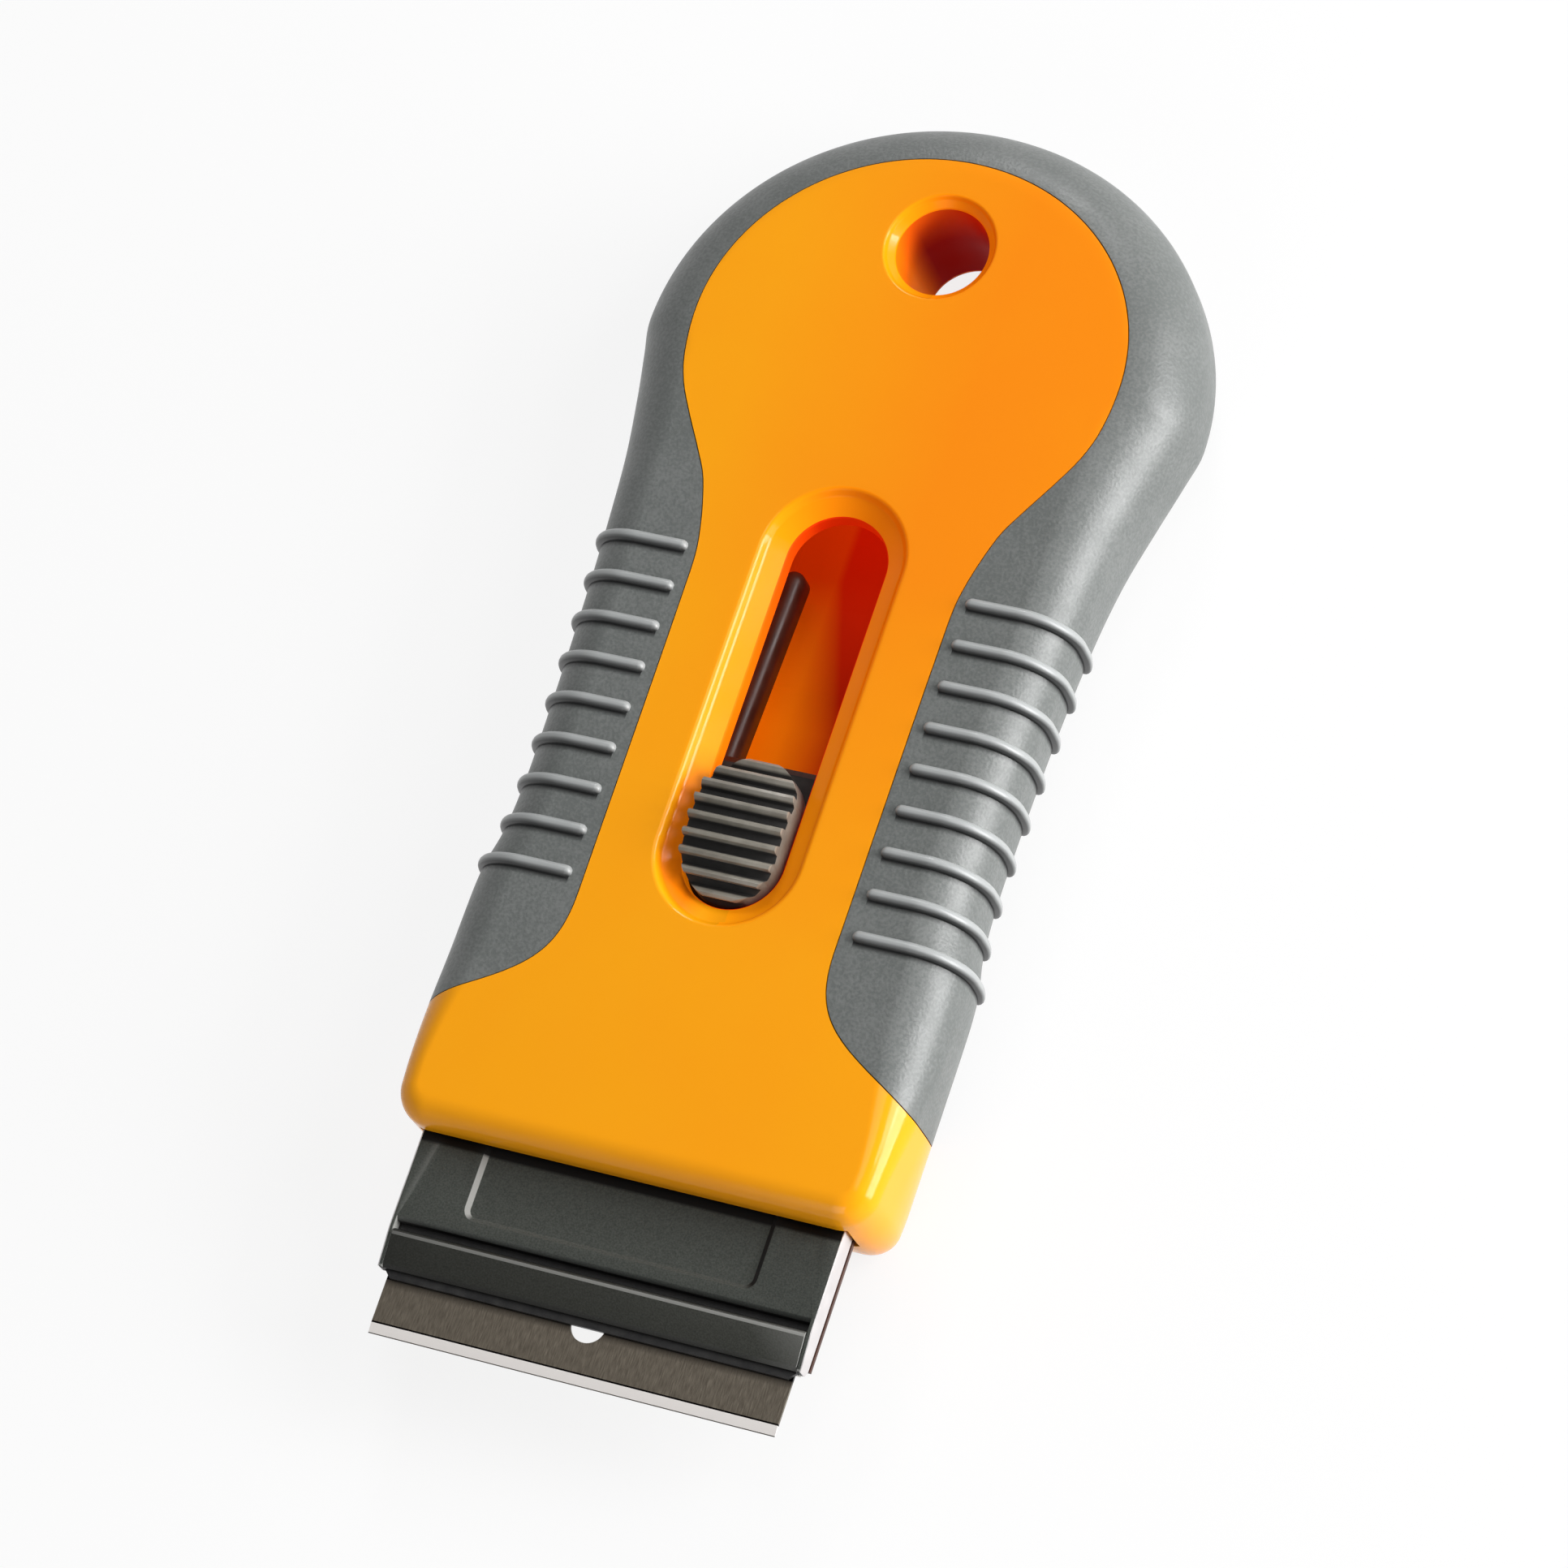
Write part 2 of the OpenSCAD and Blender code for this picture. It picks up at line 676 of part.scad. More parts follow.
module jaw_rivets_at(gap, ends) {
    both_sides() along(rivet_d, rivet_x, tongue_z)
        rotate_extrude($fn = round_fn) polygon(rivet_profile(gap, ends));
}

module carrier() color(carrier_brown) {
    sled_d = front_wall_l + slide_gap;
    tongue_d = tongue_setback - holder_reach;
    difference() {
        union() {
            centred_block(holder_w, tongue_d, holder_back, tongue_z, tongue_z + tongue_t);
            centred_block(pad_w, tongue_d, holder_back, tongue_z, carrier_top);
            centred_block(wing_w, sled_d, wing_back, wing_z, carrier_top);
            centred_block(wing_w, holder_back + pilot_gap, wing_back, wing_z, holder_top);
            centred_block(neck_w, sled_d, button_d, sled_z, carrier_top);
            centred_block(seat_w, button_d - seat_lead, seat_back, sled_z, seat_top);
            both_sides() prong();
        }
        jaw_rivets_at(pilot_gap, over);
        centred_block(spring_w + 2 * spring_gap, button_mid - spring_l / 2 - spring_gap,
            button_mid + spring_l / 2 + spring_gap, spring_floor, seat_top + over);
        both_sides() along(button_mid - leg_l / 2 - leg_gap, leg_x - leg_gap, sled_z - over)
            cube([leg_t + 2 * leg_gap, leg_l + 2 * leg_gap, sled_t + 2 * over]);
    }
}

// Jaws: the blade lies on the lower one, over two studs, with the upper one on top of it
jaw_gap = 0.1;
jaw_w = holder_w - 2 * (flange_t + jaw_gap);
upper_jaw_lead = 0.7;
stud_r = 1.5;
stud_x = 11;
stud_d = 9;
rivet_x = 16.5;
rivet_d = 2.3;
rivet_r = 0.9;
rivet_head_r = 1.6;
rivet_head_h = 0.6;
rivet_foot_h = 0.3;
bar_rivet_x = 14;
bar_rivet_xs = [-bar_rivet_x, 0, bar_rivet_x];
bar_rivet_r = 0.7;
bar_rivet_l = 0.8;

rivet_l = holder_top - tongue_z;
function rivet_profile(gap, ends) = [
    [0, -ends], [rivet_r + rivet_foot_h + gap, -ends], [rivet_r + rivet_foot_h + gap, 0],
    [rivet_r + gap, rivet_foot_h], [rivet_r + gap, rivet_l - rivet_head_h],
    [rivet_head_r + gap, rivet_l - rivet_head_h / 4],
    [rivet_head_r + gap, rivet_l + ends], [0, rivet_l + ends]
];

module studs_at(gap, ends) {
    both_sides() along(stud_d - holder_reach, stud_x, carrier_top - ends)
        cylinder(r = stud_r + gap, h = upper_jaw_top - carrier_top + 2 * ends, $fn = round_fn);
}

module lower_jaw() color(steel) {
    difference() {
        centred_block(jaw_w, -holder_reach, holder_back, carrier_top, lower_jaw_top);
        studs_at(pilot_gap, over);
        jaw_rivets_at(pilot_gap, over);
    }
}

module locating_studs() color(bright_steel) studs_at(0, 0);

module blade() color(bright_steel) {
    edge_z = mix(lower_jaw_top, blade_top, 1 / 2);
    difference() {
        along(-blade_reach, -blade_w / 2) rotate([90, 0, 90]) linear_extrude(height = blade_w)
            polygon([
                [0, edge_z], [bevel_w, lower_jaw_top], [blade_l, lower_jaw_top],
                [blade_l, blade_top], [bevel_w, blade_top]
            ]);
        along(blade_hole_d - blade_reach, 0, lower_jaw_top - over)
            cylinder(r = blade_hole_r, h = blade_t + 2 * over, $fn = round_fn);
        studs_at(pilot_gap, over);
    }
}

module upper_jaw() color(jaw_black) {
    c = upper_jaw_lead;
    front = -holder_reach - upper_jaw_lead;
    difference() {
        along(0, 0, blade_top) linear_extrude(height = upper_jaw_t) polygon([
            [c - jaw_w / 2, front], [jaw_w / 2 - c, front], [jaw_w / 2, front + c],
            [jaw_w / 2, holder_back], [-jaw_w / 2, holder_back], [-jaw_w / 2, front + c]
        ]);
        studs_at(pilot_gap, over);
        jaw_rivets_at(pilot_gap, over);
        for (x = bar_rivet_xs) along(bar_mid, x, blade_top - over)
            cylinder(r = bar_rivet_r + pilot_gap, h = upper_jaw_t + 2 * over, $fn = round_fn);
    }
}

// Clamp plate: a channel turned over the jaws, with a sunken panel
plate_front = bar_l + groove_w - holder_reach;
plate_chamfer = 0.35;
panel_front = 1.85;
panel_corner_r = 0.7;
panel_slope = 0.45;
panel_back = 2;
bar_mid = bar_l / 2 - holder_reach;

module clamp_plate() color(holder_gray) {
    difference() {
        union() {
            along(0, -holder_w / 2) rotate([90, 0, 90]) linear_extrude(height = holder_w) polygon([
                [plate_front, upper_jaw_top], [holder_back, upper_jaw_top], [holder_back, holder_top],
                [plate_front + plate_chamfer, holder_top], [plate_front, holder_top - plate_chamfer]
            ]);
            both_sides() along(0, holder_w / 2 - flange_t) rotate([90, 0, 90])
                linear_extrude(height = flange_t) polygon(flange_outline);
        }
        hull() for (p = [[0, panel_slope], [panel_depth, 0], [panel_depth + over, 0]])
            both_sides() for (s = [plate_front + panel_front, holder_back - panel_back - panel_corner_r])
                along(s + panel_corner_r, panel_w / 2 - panel_corner_r, holder_top - panel_depth + p[0])
                    cylinder(r = panel_corner_r + panel_slope - p[1], h = pilot_gap, $fn = hull_fn);
        jaw_rivets_at(pilot_gap, over);
    }
}

// Clamp bar: its back edge is rolled, and its top slopes down towards the blade
bar_rise = 0.1;
bar_roll_r = 0.5;
bar_drop = 0.55;
bar_nose_h = 0.35;
flange_round = 0.5;
flange_outline = [
    [holder_back, holder_top - flange_h], [holder_back, holder_top],
    [bar_l - holder_reach, holder_top], [-holder_reach, holder_top - bar_drop],
    [-holder_reach, holder_top - flange_h + flange_round],
    [flange_round - holder_reach, holder_top - flange_h]
];

module clamp_bar() color(holder_gray) {
    back = bar_l - holder_reach;
    top = holder_top + bar_rise;
    difference() {
        along(0, -jaw_w / 2) rotate([90, 0, 90]) linear_extrude(height = jaw_w) polygon(concat(
            [[-holder_reach, upper_jaw_top], [back, upper_jaw_top]],
            [
                for (k = [0:corner_steps]) let (a = 90 * k / corner_steps)
                    [back - bar_roll_r * (1 - cos(a)), top - bar_roll_r * (1 - sin(a))]
            ],
            [[-holder_reach + bar_nose_h, top - bar_drop], [-holder_reach, top - bar_drop - bar_nose_h]]
        ));
        for (x = bar_rivet_xs) along(bar_mid, x, upper_jaw_top - over)
            cylinder(r = bar_rivet_r + pilot_gap, h = bar_rivet_l + over, $fn = round_fn);
    }
}

module jaw_rivets() color(bright_steel) jaw_rivets_at(0, 0);

module bar_rivets() color(bright_steel) {
    for (x = bar_rivet_xs) along(bar_mid, x, blade_top)
        cylinder(r = bar_rivet_r, h = upper_jaw_t + bar_rivet_l, $fn = round_fn);
}

// Thumb button: a crowned, ridged cap over a base plate with lugs and two hooked legs
press_end_gap = 0.2;
base_z = seat_top + press_travel + press_end_gap;
base_top = roof_z - lug_gap;
base_w = 12;
hook_t = 0.6;
hook_h = 0.8;
crown_r = ((button_l / 2) ^ 2 + button_crown ^ 2) / (2 * button_crown);
crown_z = body_t + button_h - crown_r;
ridge_w = 1;
ridge_shares = [[-0.5, 0], [-0.36, 0.62], [-0.16, 1], [0.16, 1], [0.36, 0.62], [0.5, 0]];

// Top of the cap seen from the side: each ridge stands on the crown's arc
function crown_point(a, r) = [button_mid + r * sin(a), crown_z + r * cos(a)];
ridge_angle = ridge_pitch / crown_r * 180 / PI;
ridge_half = (ridge_count - 1) / 2;
cap_top = [
    for (k = [-ridge_half:ridge_half], p = ridge_shares)
        crown_point((k + p[0] * ridge_w / ridge_pitch) * ridge_angle, crown_r - ridge_h * (1 - p[1]))
];
cap_end = ridge_angle * (ridge_half + 1);

module cap_plan(r, l) {
    along(button_mid) {
        for (a = [0, 180]) rotate([0, 0, a]) translate([0, l / 2 - r])
            circle(r = r, $fn = round_fn);
        square([2 * r, l - 2 * r], center = true);
    }
}

module thumb_button() color(button_gray) {
    intersection() {
        along(0, -button_w / 2) rotate([90, 0, 90]) linear_extrude(height = button_w)
            polygon(concat(
                [[button_mid + button_l / 2 + over, base_z]],
                [[button_mid - button_l / 2 - over, base_z]],
                [crown_point(-cap_end, crown_r - ridge_h)],
                cap_top,
                [crown_point(cap_end, crown_r - ridge_h)]
            ));
        linear_extrude(height = 2 * body_t) cap_plan(button_w / 2, button_l);
    }
    centred_block(base_w, button_d, button_d + button_l, base_z, base_top);
    centred_block(lug_w, button_d + lug_inset + lug_gap, button_d + lug_inset + lug_l - lug_gap,
        base_z, base_top);
    both_sides() {
        along(button_mid - leg_l / 2, leg_x, sled_z - leg_gap - hook_h)
            cube([leg_t, leg_l, base_z - sled_z + leg_gap + hook_h + over]);
        along(button_mid - leg_l / 2, leg_x, sled_z - leg_gap - hook_h)
            cube([leg_t + hook_t, leg_l, hook_h]);
    }
}

// Leaf spring: a steel strip bowed between the seat's pocket and the button
spring_rise = base_z - spring_floor - pilot_gap;
spring_r = ((spring_l / 2) ^ 2 + spring_rise ^ 2) / (2 * spring_rise);
spring_sweep = asin(spring_l / 2 / spring_r);
function spring_arc(r, way) = [
    for (k = [-dome_steps:dome_steps]) let (a = way * spring_sweep * k / dome_steps)
        [button_mid + r * sin(a), spring_floor + spring_rise - spring_r + r * cos(a)]
];

module button_spring() color(steel) {
    along(0, -spring_w / 2) rotate([90, 0, 90]) linear_extrude(height = spring_w)
        intersection() {
            polygon(concat(spring_arc(spring_r, 1), spring_arc(spring_r - spring_t, -1)));
            translate([button_mid - spring_l / 2, spring_floor]) square([spring_l, spring_rise + over]);
        }
}

front_shell();
rear_cover();
grip_overmould();
cover_screws();
carrier();
lower_jaw();
locating_studs();
blade();
upper_jaw();
clamp_plate();
clamp_bar();
jaw_rivets();
bar_rivets();
thumb_button();
button_spring();
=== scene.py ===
# %% [markdown]
# # A razor blade scraper, dressed for its photograph
#
# The solids of the scraper come from its CAD source and are already the right size and in the
# right place. This lesson gives each of them its finish: glossy orange plastic, pebbled gray
# rubber, coated and bare steel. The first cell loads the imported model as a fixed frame. Everything
# is in metres: the tool lies on its back, its blade points along -Y, and its face looks up.

import math

import bmesh
import bpy
from mathutils import Matrix, Vector


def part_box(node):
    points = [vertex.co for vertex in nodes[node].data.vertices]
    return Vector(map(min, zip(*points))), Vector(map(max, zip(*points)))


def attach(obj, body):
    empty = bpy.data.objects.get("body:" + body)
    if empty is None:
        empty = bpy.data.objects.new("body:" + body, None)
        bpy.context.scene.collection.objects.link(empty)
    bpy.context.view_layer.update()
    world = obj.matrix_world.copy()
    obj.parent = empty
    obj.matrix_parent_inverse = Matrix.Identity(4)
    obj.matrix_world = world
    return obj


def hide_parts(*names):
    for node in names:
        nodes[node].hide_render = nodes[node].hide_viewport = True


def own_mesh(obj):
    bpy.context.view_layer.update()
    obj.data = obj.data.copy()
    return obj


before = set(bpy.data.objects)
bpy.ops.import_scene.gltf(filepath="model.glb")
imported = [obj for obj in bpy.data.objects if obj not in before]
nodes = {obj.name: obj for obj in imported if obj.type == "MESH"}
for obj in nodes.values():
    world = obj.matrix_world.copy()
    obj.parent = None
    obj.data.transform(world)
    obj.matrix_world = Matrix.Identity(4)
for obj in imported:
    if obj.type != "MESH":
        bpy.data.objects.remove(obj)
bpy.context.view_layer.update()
print("nodes:", ", ".join(sorted(nodes)))

# %% [markdown]
# ## Units
#
# Makers of small tools think in millimetres, and Blender thinks in metres here. One short helper
# turns the first into the second, so the sizes below read as they would on a drawing.

# %% Millimetres
MM = 0.001


def mm(*values):
    """Millimetres to metres: one number, or a vector of three."""
    return values[0] * MM if len(values) == 1 else Vector(values) * MM


front_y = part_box("front_shell")[0].y


def from_mouth(s):
    """The place along Y, in metres, that is s millimetres behind the handle's front face."""
    return front_y + mm(s)


print("the handle's front face is at y =", round(front_y / MM, 2), "mm")

# %% [markdown]
# ## Crisp but not razor sharp
#
# Real edges are never perfectly sharp. A moulded or stamped edge has a tiny round that catches a
# thin line of light, and the eye reads the material from it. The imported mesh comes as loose
# facets. It could be rebuilt by hand, but modifiers keep it exact: Weld joins the facets, Bevel
# rounds every edge that is sharper than an angle, and a small node group shades the gentle bends
# smooth and keeps the sharp ones sharp.

# %% Smooth shading by angle, as a node group
SMOOTH_BELOW = math.radians(28)


def smooth_by_angle():
    """A geometry node group that shades an edge smooth where its faces meet at a small angle."""
    group = bpy.data.node_groups.new("smooth_gentle_bends", "GeometryNodeTree")
    group.interface.new_socket("Geometry", in_out="INPUT", socket_type="NodeSocketGeometry")
    group.interface.new_socket("Geometry", in_out="OUTPUT", socket_type="NodeSocketGeometry")
    add, link = group.nodes.new, group.links.new
    came_in, goes_out = add("NodeGroupInput"), add("NodeGroupOutput")
    angle, gentle = add("GeometryNodeInputMeshEdgeAngle"), add("FunctionNodeCompare")
    gentle.operation = "LESS_THAN"
    gentle.inputs["B"].default_value = SMOOTH_BELOW
    faces, edges = add("GeometryNodeSetShadeSmooth"), add("GeometryNodeSetShadeSmooth")
    faces.domain, edges.domain = "FACE", "EDGE"
    link(came_in.outputs[0], faces.inputs["Geometry"])
    link(faces.outputs[0], edges.inputs["Geometry"])
    link(angle.outputs["Unsigned Angle"], gentle.inputs["A"])
    link(gentle.outputs[0], edges.inputs["Shade Smooth"])
    link(edges.outputs[0], goes_out.inputs[0])
    return group


gentle_bends = smooth_by_angle()
print("node group:", gentle_bends.name)

# %% Weld, round and shade one solid
WELD = mm(0.002)
ROUND_ABOVE = math.radians(32)
ROUND_STEPS = 2


def soften(name, edge_mm):
    """Joins a node's facets, rounds its sharp edges by edge_mm, and shades it."""
    piece = nodes[name]
    attributes = piece.data.attributes
    for left_over in ("custom_normal", "sharp_edge", "sharp_face"):
        if left_over in attributes:
            attributes.remove(attributes[left_over])
    weld = piece.modifiers.new("join_facets", "WELD")
    weld.merge_threshold = WELD
    if edge_mm:
        rounding = piece.modifiers.new("round_edges", "BEVEL")
        rounding.width = mm(edge_mm)
        rounding.segments = ROUND_STEPS
        rounding.limit_method = "ANGLE"
        rounding.angle_limit = ROUND_ABOVE
        rounding.miter_outer = "MITER_ARC"
        rounding.use_clamp_overlap = True
    shading = piece.modifiers.new("shade", "NODES")
    shading.node_group = gentle_bends


print("rounded: edges over", round(math.degrees(ROUND_ABOVE)), "degrees")

# %% [markdown]
# ## The handle's outline
#
# The handle is one long soft form: straight beside the mouth, drawn in at the waist, round at the
# head. Its CAD solid is made of a few thousand flat facets, which is enough to cut and to test, but
# a glossy surface shows every one of them in its highlights. A subdivision surface would round
# them, and it would also melt the seam and the mouth. So the skin is swept again here, from the
# same sizes, with many more steps. First comes the outline: widths at places along the handle, and
# a smooth curve through them.

# %% Sizes of the handle, in mm
BODY_L, BODY_T, ROOF_Z, GRIP_T = 105.6, 14.2, 11, 1.2
FRONT_W, FLARE_W, WAIST_W, HEAD_W = 46, 47.6, 45.2, 54.2
CORNER_R, HEAD_END_L = 3.4, 25
SLOT_S, HANG_S = 44.85, 91.3                # the middles of the slot and the hanging hole
HEAD_C = BODY_L - HEAD_END_L
OVERRUN = 1.3                               # a cutting tool runs this far past what it cuts
FRONT_Y = front_y / MM


def between(a, b, share):
    """The value that is a share of the way from a to b."""
    return a + (b - a) * share


def curve_at(stations, s):
    """A smooth value at s, through stations of (place, value)."""
    last = len(stations) - 1

    def slope(i):
        if i == last:
            return 0
        (s0, v0), (s1, v1) = stations[max(i - 1, 0)], stations[i + 1]
        return (v1 - v0) / (s1 - s0)

    i = 0
    while i < last - 1 and s > stations[i + 1][0]:
        i += 1
    (s0, v0), (s1, v1) = stations[i], stations[i + 1]
    h, u = s1 - s0, (s - s0) / (s1 - s0)
    return ((2 * u**3 - 3 * u**2 + 1) * v0 + (u**3 - 2 * u**2 + u) * h * slope(i)
            + (3 * u**2 - 2 * u**3) * v1 + (u**3 - u**2) * h * slope(i + 1))


def stations_between(shares, first, second):
    """Stations whose places are shares of the length, and whose values run from first to second."""
    return [(along * BODY_L, between(first, second, share) / 2) for along, share in shares]


side_stations = (
    [(CORNER_R, FRONT_W / 2)]
    + stations_between([(0.118, 0.85), (0.204, 1)], FRONT_W, FLARE_W)
    + stations_between([(0.239, 0.17), (0.270, 0.72), (0.308, 0.97), (0.348, 1)], FLARE_W, WAIST_W)
    + stations_between([(0.455, 0.06), (0.550, 0.178), (0.625, 0.357), (0.687, 0.63), (0.729, 0.845)],
                       WAIST_W, HEAD_W)
    + [(HEAD_C, HEAD_W / 2)])
print("half widths at the front, waist and head:",
      [round(curve_at(side_stations, s), 2) for s in (10, 40, 80)], "mm")

# %% [markdown]
# ## The rounded edges
#
# The upper edge is a quarter circle that grows from 2.4 mm at the mouth to 6.6 mm round the head.
# The lower edge is an ellipse, taller than it is wide, which makes the tool look slim from above
# while it keeps a flat back. Both are stations along the handle again.

# %% Edge sizes, and the right half of the outline
def edge_stations(front, waist, head):
    places = ((0, front), (0.05, front), (0.17, waist), (0.56, waist), (0.74, head), (1, head))
    return [(along * BODY_L, value) for along, value in places]


upper_r = edge_stations(2.4, 4.8, 6.6)
under_w, under_h = edge_stations(2.3, 5.8, 5.6), edge_stations(8.5, 8, 5.6)
LEAN_STEP = 0.1


def half_outline(corner_steps=14, side_steps=110, head_steps=60):
    """From the mouth round to the end of the head: (x, along, normal x, normal along)."""
    points = []
    for k in range(corner_steps + 1):
        a = math.pi / 2 * k / corner_steps
        points.append((FRONT_W / 2 - CORNER_R * (1 - math.sin(a)), CORNER_R * (1 - math.cos(a)),
                       math.sin(a), -math.cos(a)))
    for k in range(1, side_steps):
        s = between(CORNER_R, HEAD_C, k / side_steps)
        ahead, behind = (curve_at(side_stations, s + way * LEAN_STEP) for way in (1, -1))
        lean = math.atan((ahead - behind) / (2 * LEAN_STEP))
        points.append((curve_at(side_stations, s), s, math.cos(lean), -math.sin(lean)))
    for k in range(head_steps + 1):
        a = math.pi / 2 * k / head_steps
        normal = Vector((math.cos(a) / HEAD_W * 2, math.sin(a) / HEAD_END_L)).normalized()
        points.append((HEAD_W / 2 * math.cos(a), HEAD_C + HEAD_END_L * math.sin(a), *normal))
    return points


right_half = half_outline()
outline = right_half + [(-x, s, -nx, ny) for x, s, nx, ny in right_half[-2::-1]]
print("outline:", len(outline), "points")

# %% [markdown]
# ## Sweeping rings into solids
#
# Every shape of the handle is a stack of closed rings: the skin, the prism of the seam, the slot,
# the hole. One helper turns a stack of rings into a closed mesh with flat caps.

# %% Rings into a solid
def ring_solid(name, rings):
    """A closed solid through rings of as many points each, lowest first and turning left."""
    n = len(rings[0])
    faces = [(k * n + i, k * n + (i + 1) % n, (k + 1) * n + (i + 1) % n, (k + 1) * n + i)
             for k in range(len(rings) - 1) for i in range(n)]
    faces += [tuple(range(n - 1, -1, -1)), tuple(range((len(rings) - 1) * n, len(rings) * n))]
    mesh = bpy.data.meshes.new(name)
    mesh.from_pydata([mm(*point) for ring in rings for point in ring], [], faces)
    solid = bpy.data.objects.new(name, mesh)
    bpy.context.scene.collection.objects.link(solid)
    return solid


def drawn_in(point, distance):
    """The (x, y) of a point of the outline, moved inwards by distance."""
    x, s, nx, ny = point
    return x - distance * nx, FRONT_Y + s - distance * ny


def skin(name, inset, steps):
    """The rounded skin of the handle, or the same drawn in by inset."""
    def ring(a, widths, heights, from_top):
        points = []
        for point in outline:
            w, h = curve_at(widths, point[1]) - inset, curve_at(heights, point[1]) - inset
            x, y = drawn_in(point, inset + w * (1 - math.sin(a)))
            z = inset + h * (1 - math.cos(a))
            points.append((x, y, BODY_T - z if from_top else z))
        return points

    angles = [math.pi / 2 * k / steps for k in range(steps + 1)]
    return ring_solid(name, [ring(a, under_w, under_h, False) for a in angles]
                      + [ring(a, upper_r, upper_r, True) for a in reversed(angles)])


def prism(name, plan, z0, z1):
    """A plan of (x, y) points, raised from z0 to z1."""
    return ring_solid(name, [[(x, y, z) for x, y in plan] for z in (z0, z1)])


print("each ring of the skin:", len(outline), "points")

# %% [markdown]
# ## The seam between plastic and rubber
#
# Seen from above, the hard face is an hourglass: round in the head, narrow between the ribs, and it
# sweeps out to both sides ahead of them. A prism of this plan cuts the skin into its orange and
# its gray part. The real seam is a fine dark line, so the rubber is cut 0.1 mm wider.

# %% Plan of the hard face
FACE_WAIST_W, FACE_HEAD_W, FACE_END_L, FACE_C = 24.7, 41.6, 19.2, 0.766 * BODY_L
SEAM_SIDE, SEAM_WAIST = 9.9, 23.5           # where the seam meets the side and the waist
HOLD_WAIST, HOLD_SIDE, SWING_OUT = 0.53, 0.6, 0.27      # what pulls the sweep between them
SWEEP_STEPS, STRAIGHT_STEPS, ROUND_END_STEPS = 40, 70, 60
face_shares = [(0.511, 0.02), (0.554, 0.05), (0.611, 0.24), (0.639, 0.43), (0.668, 0.65),
               (0.696, 0.84), (0.724, 0.95)]
face_stations = ([(SEAM_WAIST, FACE_WAIST_W / 2)]
                 + stations_between(face_shares, FACE_WAIST_W, FACE_HEAD_W)
                 + [(FACE_C, FACE_HEAD_W / 2)])


def bezier(points, t):
    """The point at t, from 0 to 1, of the curve that four points pull."""
    weights = ((1 - t)**3, 3 * (1 - t)**2 * t, 3 * (1 - t) * t**2, t**3)
    return sum((w * point for w, point in zip(weights, points)), Vector((0, 0)))


def hard_plan(wider):
    """The plan of the orange part, drawn out by wider where it meets the rubber."""
    side_end = Vector((FLARE_W / 2 + OVERRUN, SEAM_SIDE))
    start = Vector((FACE_WAIST_W / 2, SEAM_WAIST))
    pull_waist = Vector((start.x, between(SEAM_WAIST, SEAM_SIDE, HOLD_WAIST)))
    pull_side = Vector((between(start.x, side_end.x, SWING_OUT),
                        between(SEAM_WAIST, SEAM_SIDE, HOLD_SIDE)))
    half = [bezier([start, pull_waist, pull_side, side_end], 1 - k / SWEEP_STEPS)
            for k in range(SWEEP_STEPS + 1)]
    for k in range(1, STRAIGHT_STEPS + 1):
        s = between(SEAM_WAIST, FACE_C, k / STRAIGHT_STEPS)
        half.append(Vector((curve_at(face_stations, s), s)))
    for k in range(1, ROUND_END_STEPS + 1):
        a = math.pi / 2 * k / ROUND_END_STEPS
        half.append(Vector((FACE_HEAD_W / 2 * math.cos(a), FACE_C + FACE_END_L * math.sin(a))))
    moved = []
    for k, point in enumerate(half):
        along = half[min(k + 1, len(half) - 1)] - half[max(k - 1, 0)]
        out = Vector((along.y, -along.x)).normalized() if k < len(half) - 1 else Vector((0, 1))
        moved.append(point + out * wider)
    right = [(HEAD_W, -OVERRUN), (HEAD_W, SEAM_SIDE + wider)] + [tuple(point) for point in moved]
    right[-1] = (0, right[-1][1])
    return [(x, FRONT_Y + s) for x, s in right + [(-x, s) for x, s in right[-2::-1]]]


print("hard plan:", len(hard_plan(0)), "points")

# %% [markdown]
# ## Cutting
#
# Solids are added and cut with the Boolean modifier. It is set up on the first solid, the result is
# kept as a plain mesh, and the solids that went into it are thrown away.

# %% Cut, join and keep the result
def carve(name, first, *jobs):
    """Works through (operation, solid) jobs on the first solid, and returns the result."""
    for operation, tool in jobs:
        job = first.modifiers.new(operation.lower(), "BOOLEAN")
        job.operation, job.object, job.solver = operation, tool, "EXACT"
    evaluated = first.evaluated_get(bpy.context.evaluated_depsgraph_get())
    mesh = bpy.data.meshes.new_from_object(evaluated)
    mesh.name = name
    for used in {first, *(tool for operation, tool in jobs)}:
        bpy.data.objects.remove(used)
    solid = bpy.data.objects.new(name, mesh)
    bpy.context.scene.collection.objects.link(solid)
    print(name, "has", len(mesh.polygons), "faces")
    return solid


def smooth_piece(piece, finish, stands_for, body="handle"):
    """Shades a piece, gives it its finish and puts it in its CAD node's place."""
    shading = piece.modifiers.new("shade", "NODES")
    shading.node_group = gentle_bends
    weighted = piece.modifiers.new("flat_faces_stay_flat", "WEIGHTED_NORMAL")
    weighted.keep_sharp, weighted.weight = True, 50
    if finish.name not in piece.data.materials:
        piece.data.materials.append(finish)
    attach(piece, body)
    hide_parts(stands_for)


# %% [markdown]
# ## A small kit for finishes
#
# Every finish below starts from the Principled shader. What makes it look real is the small stuff:
# a grain that is the right size in millimetres, a gloss that isn't the same everywhere, and a
# colour that drifts a little. Noise textures give all three. They read the object's own
# coordinates, which are metres here, so a grain of 0.2 mm is 0.2 mm on the tool.

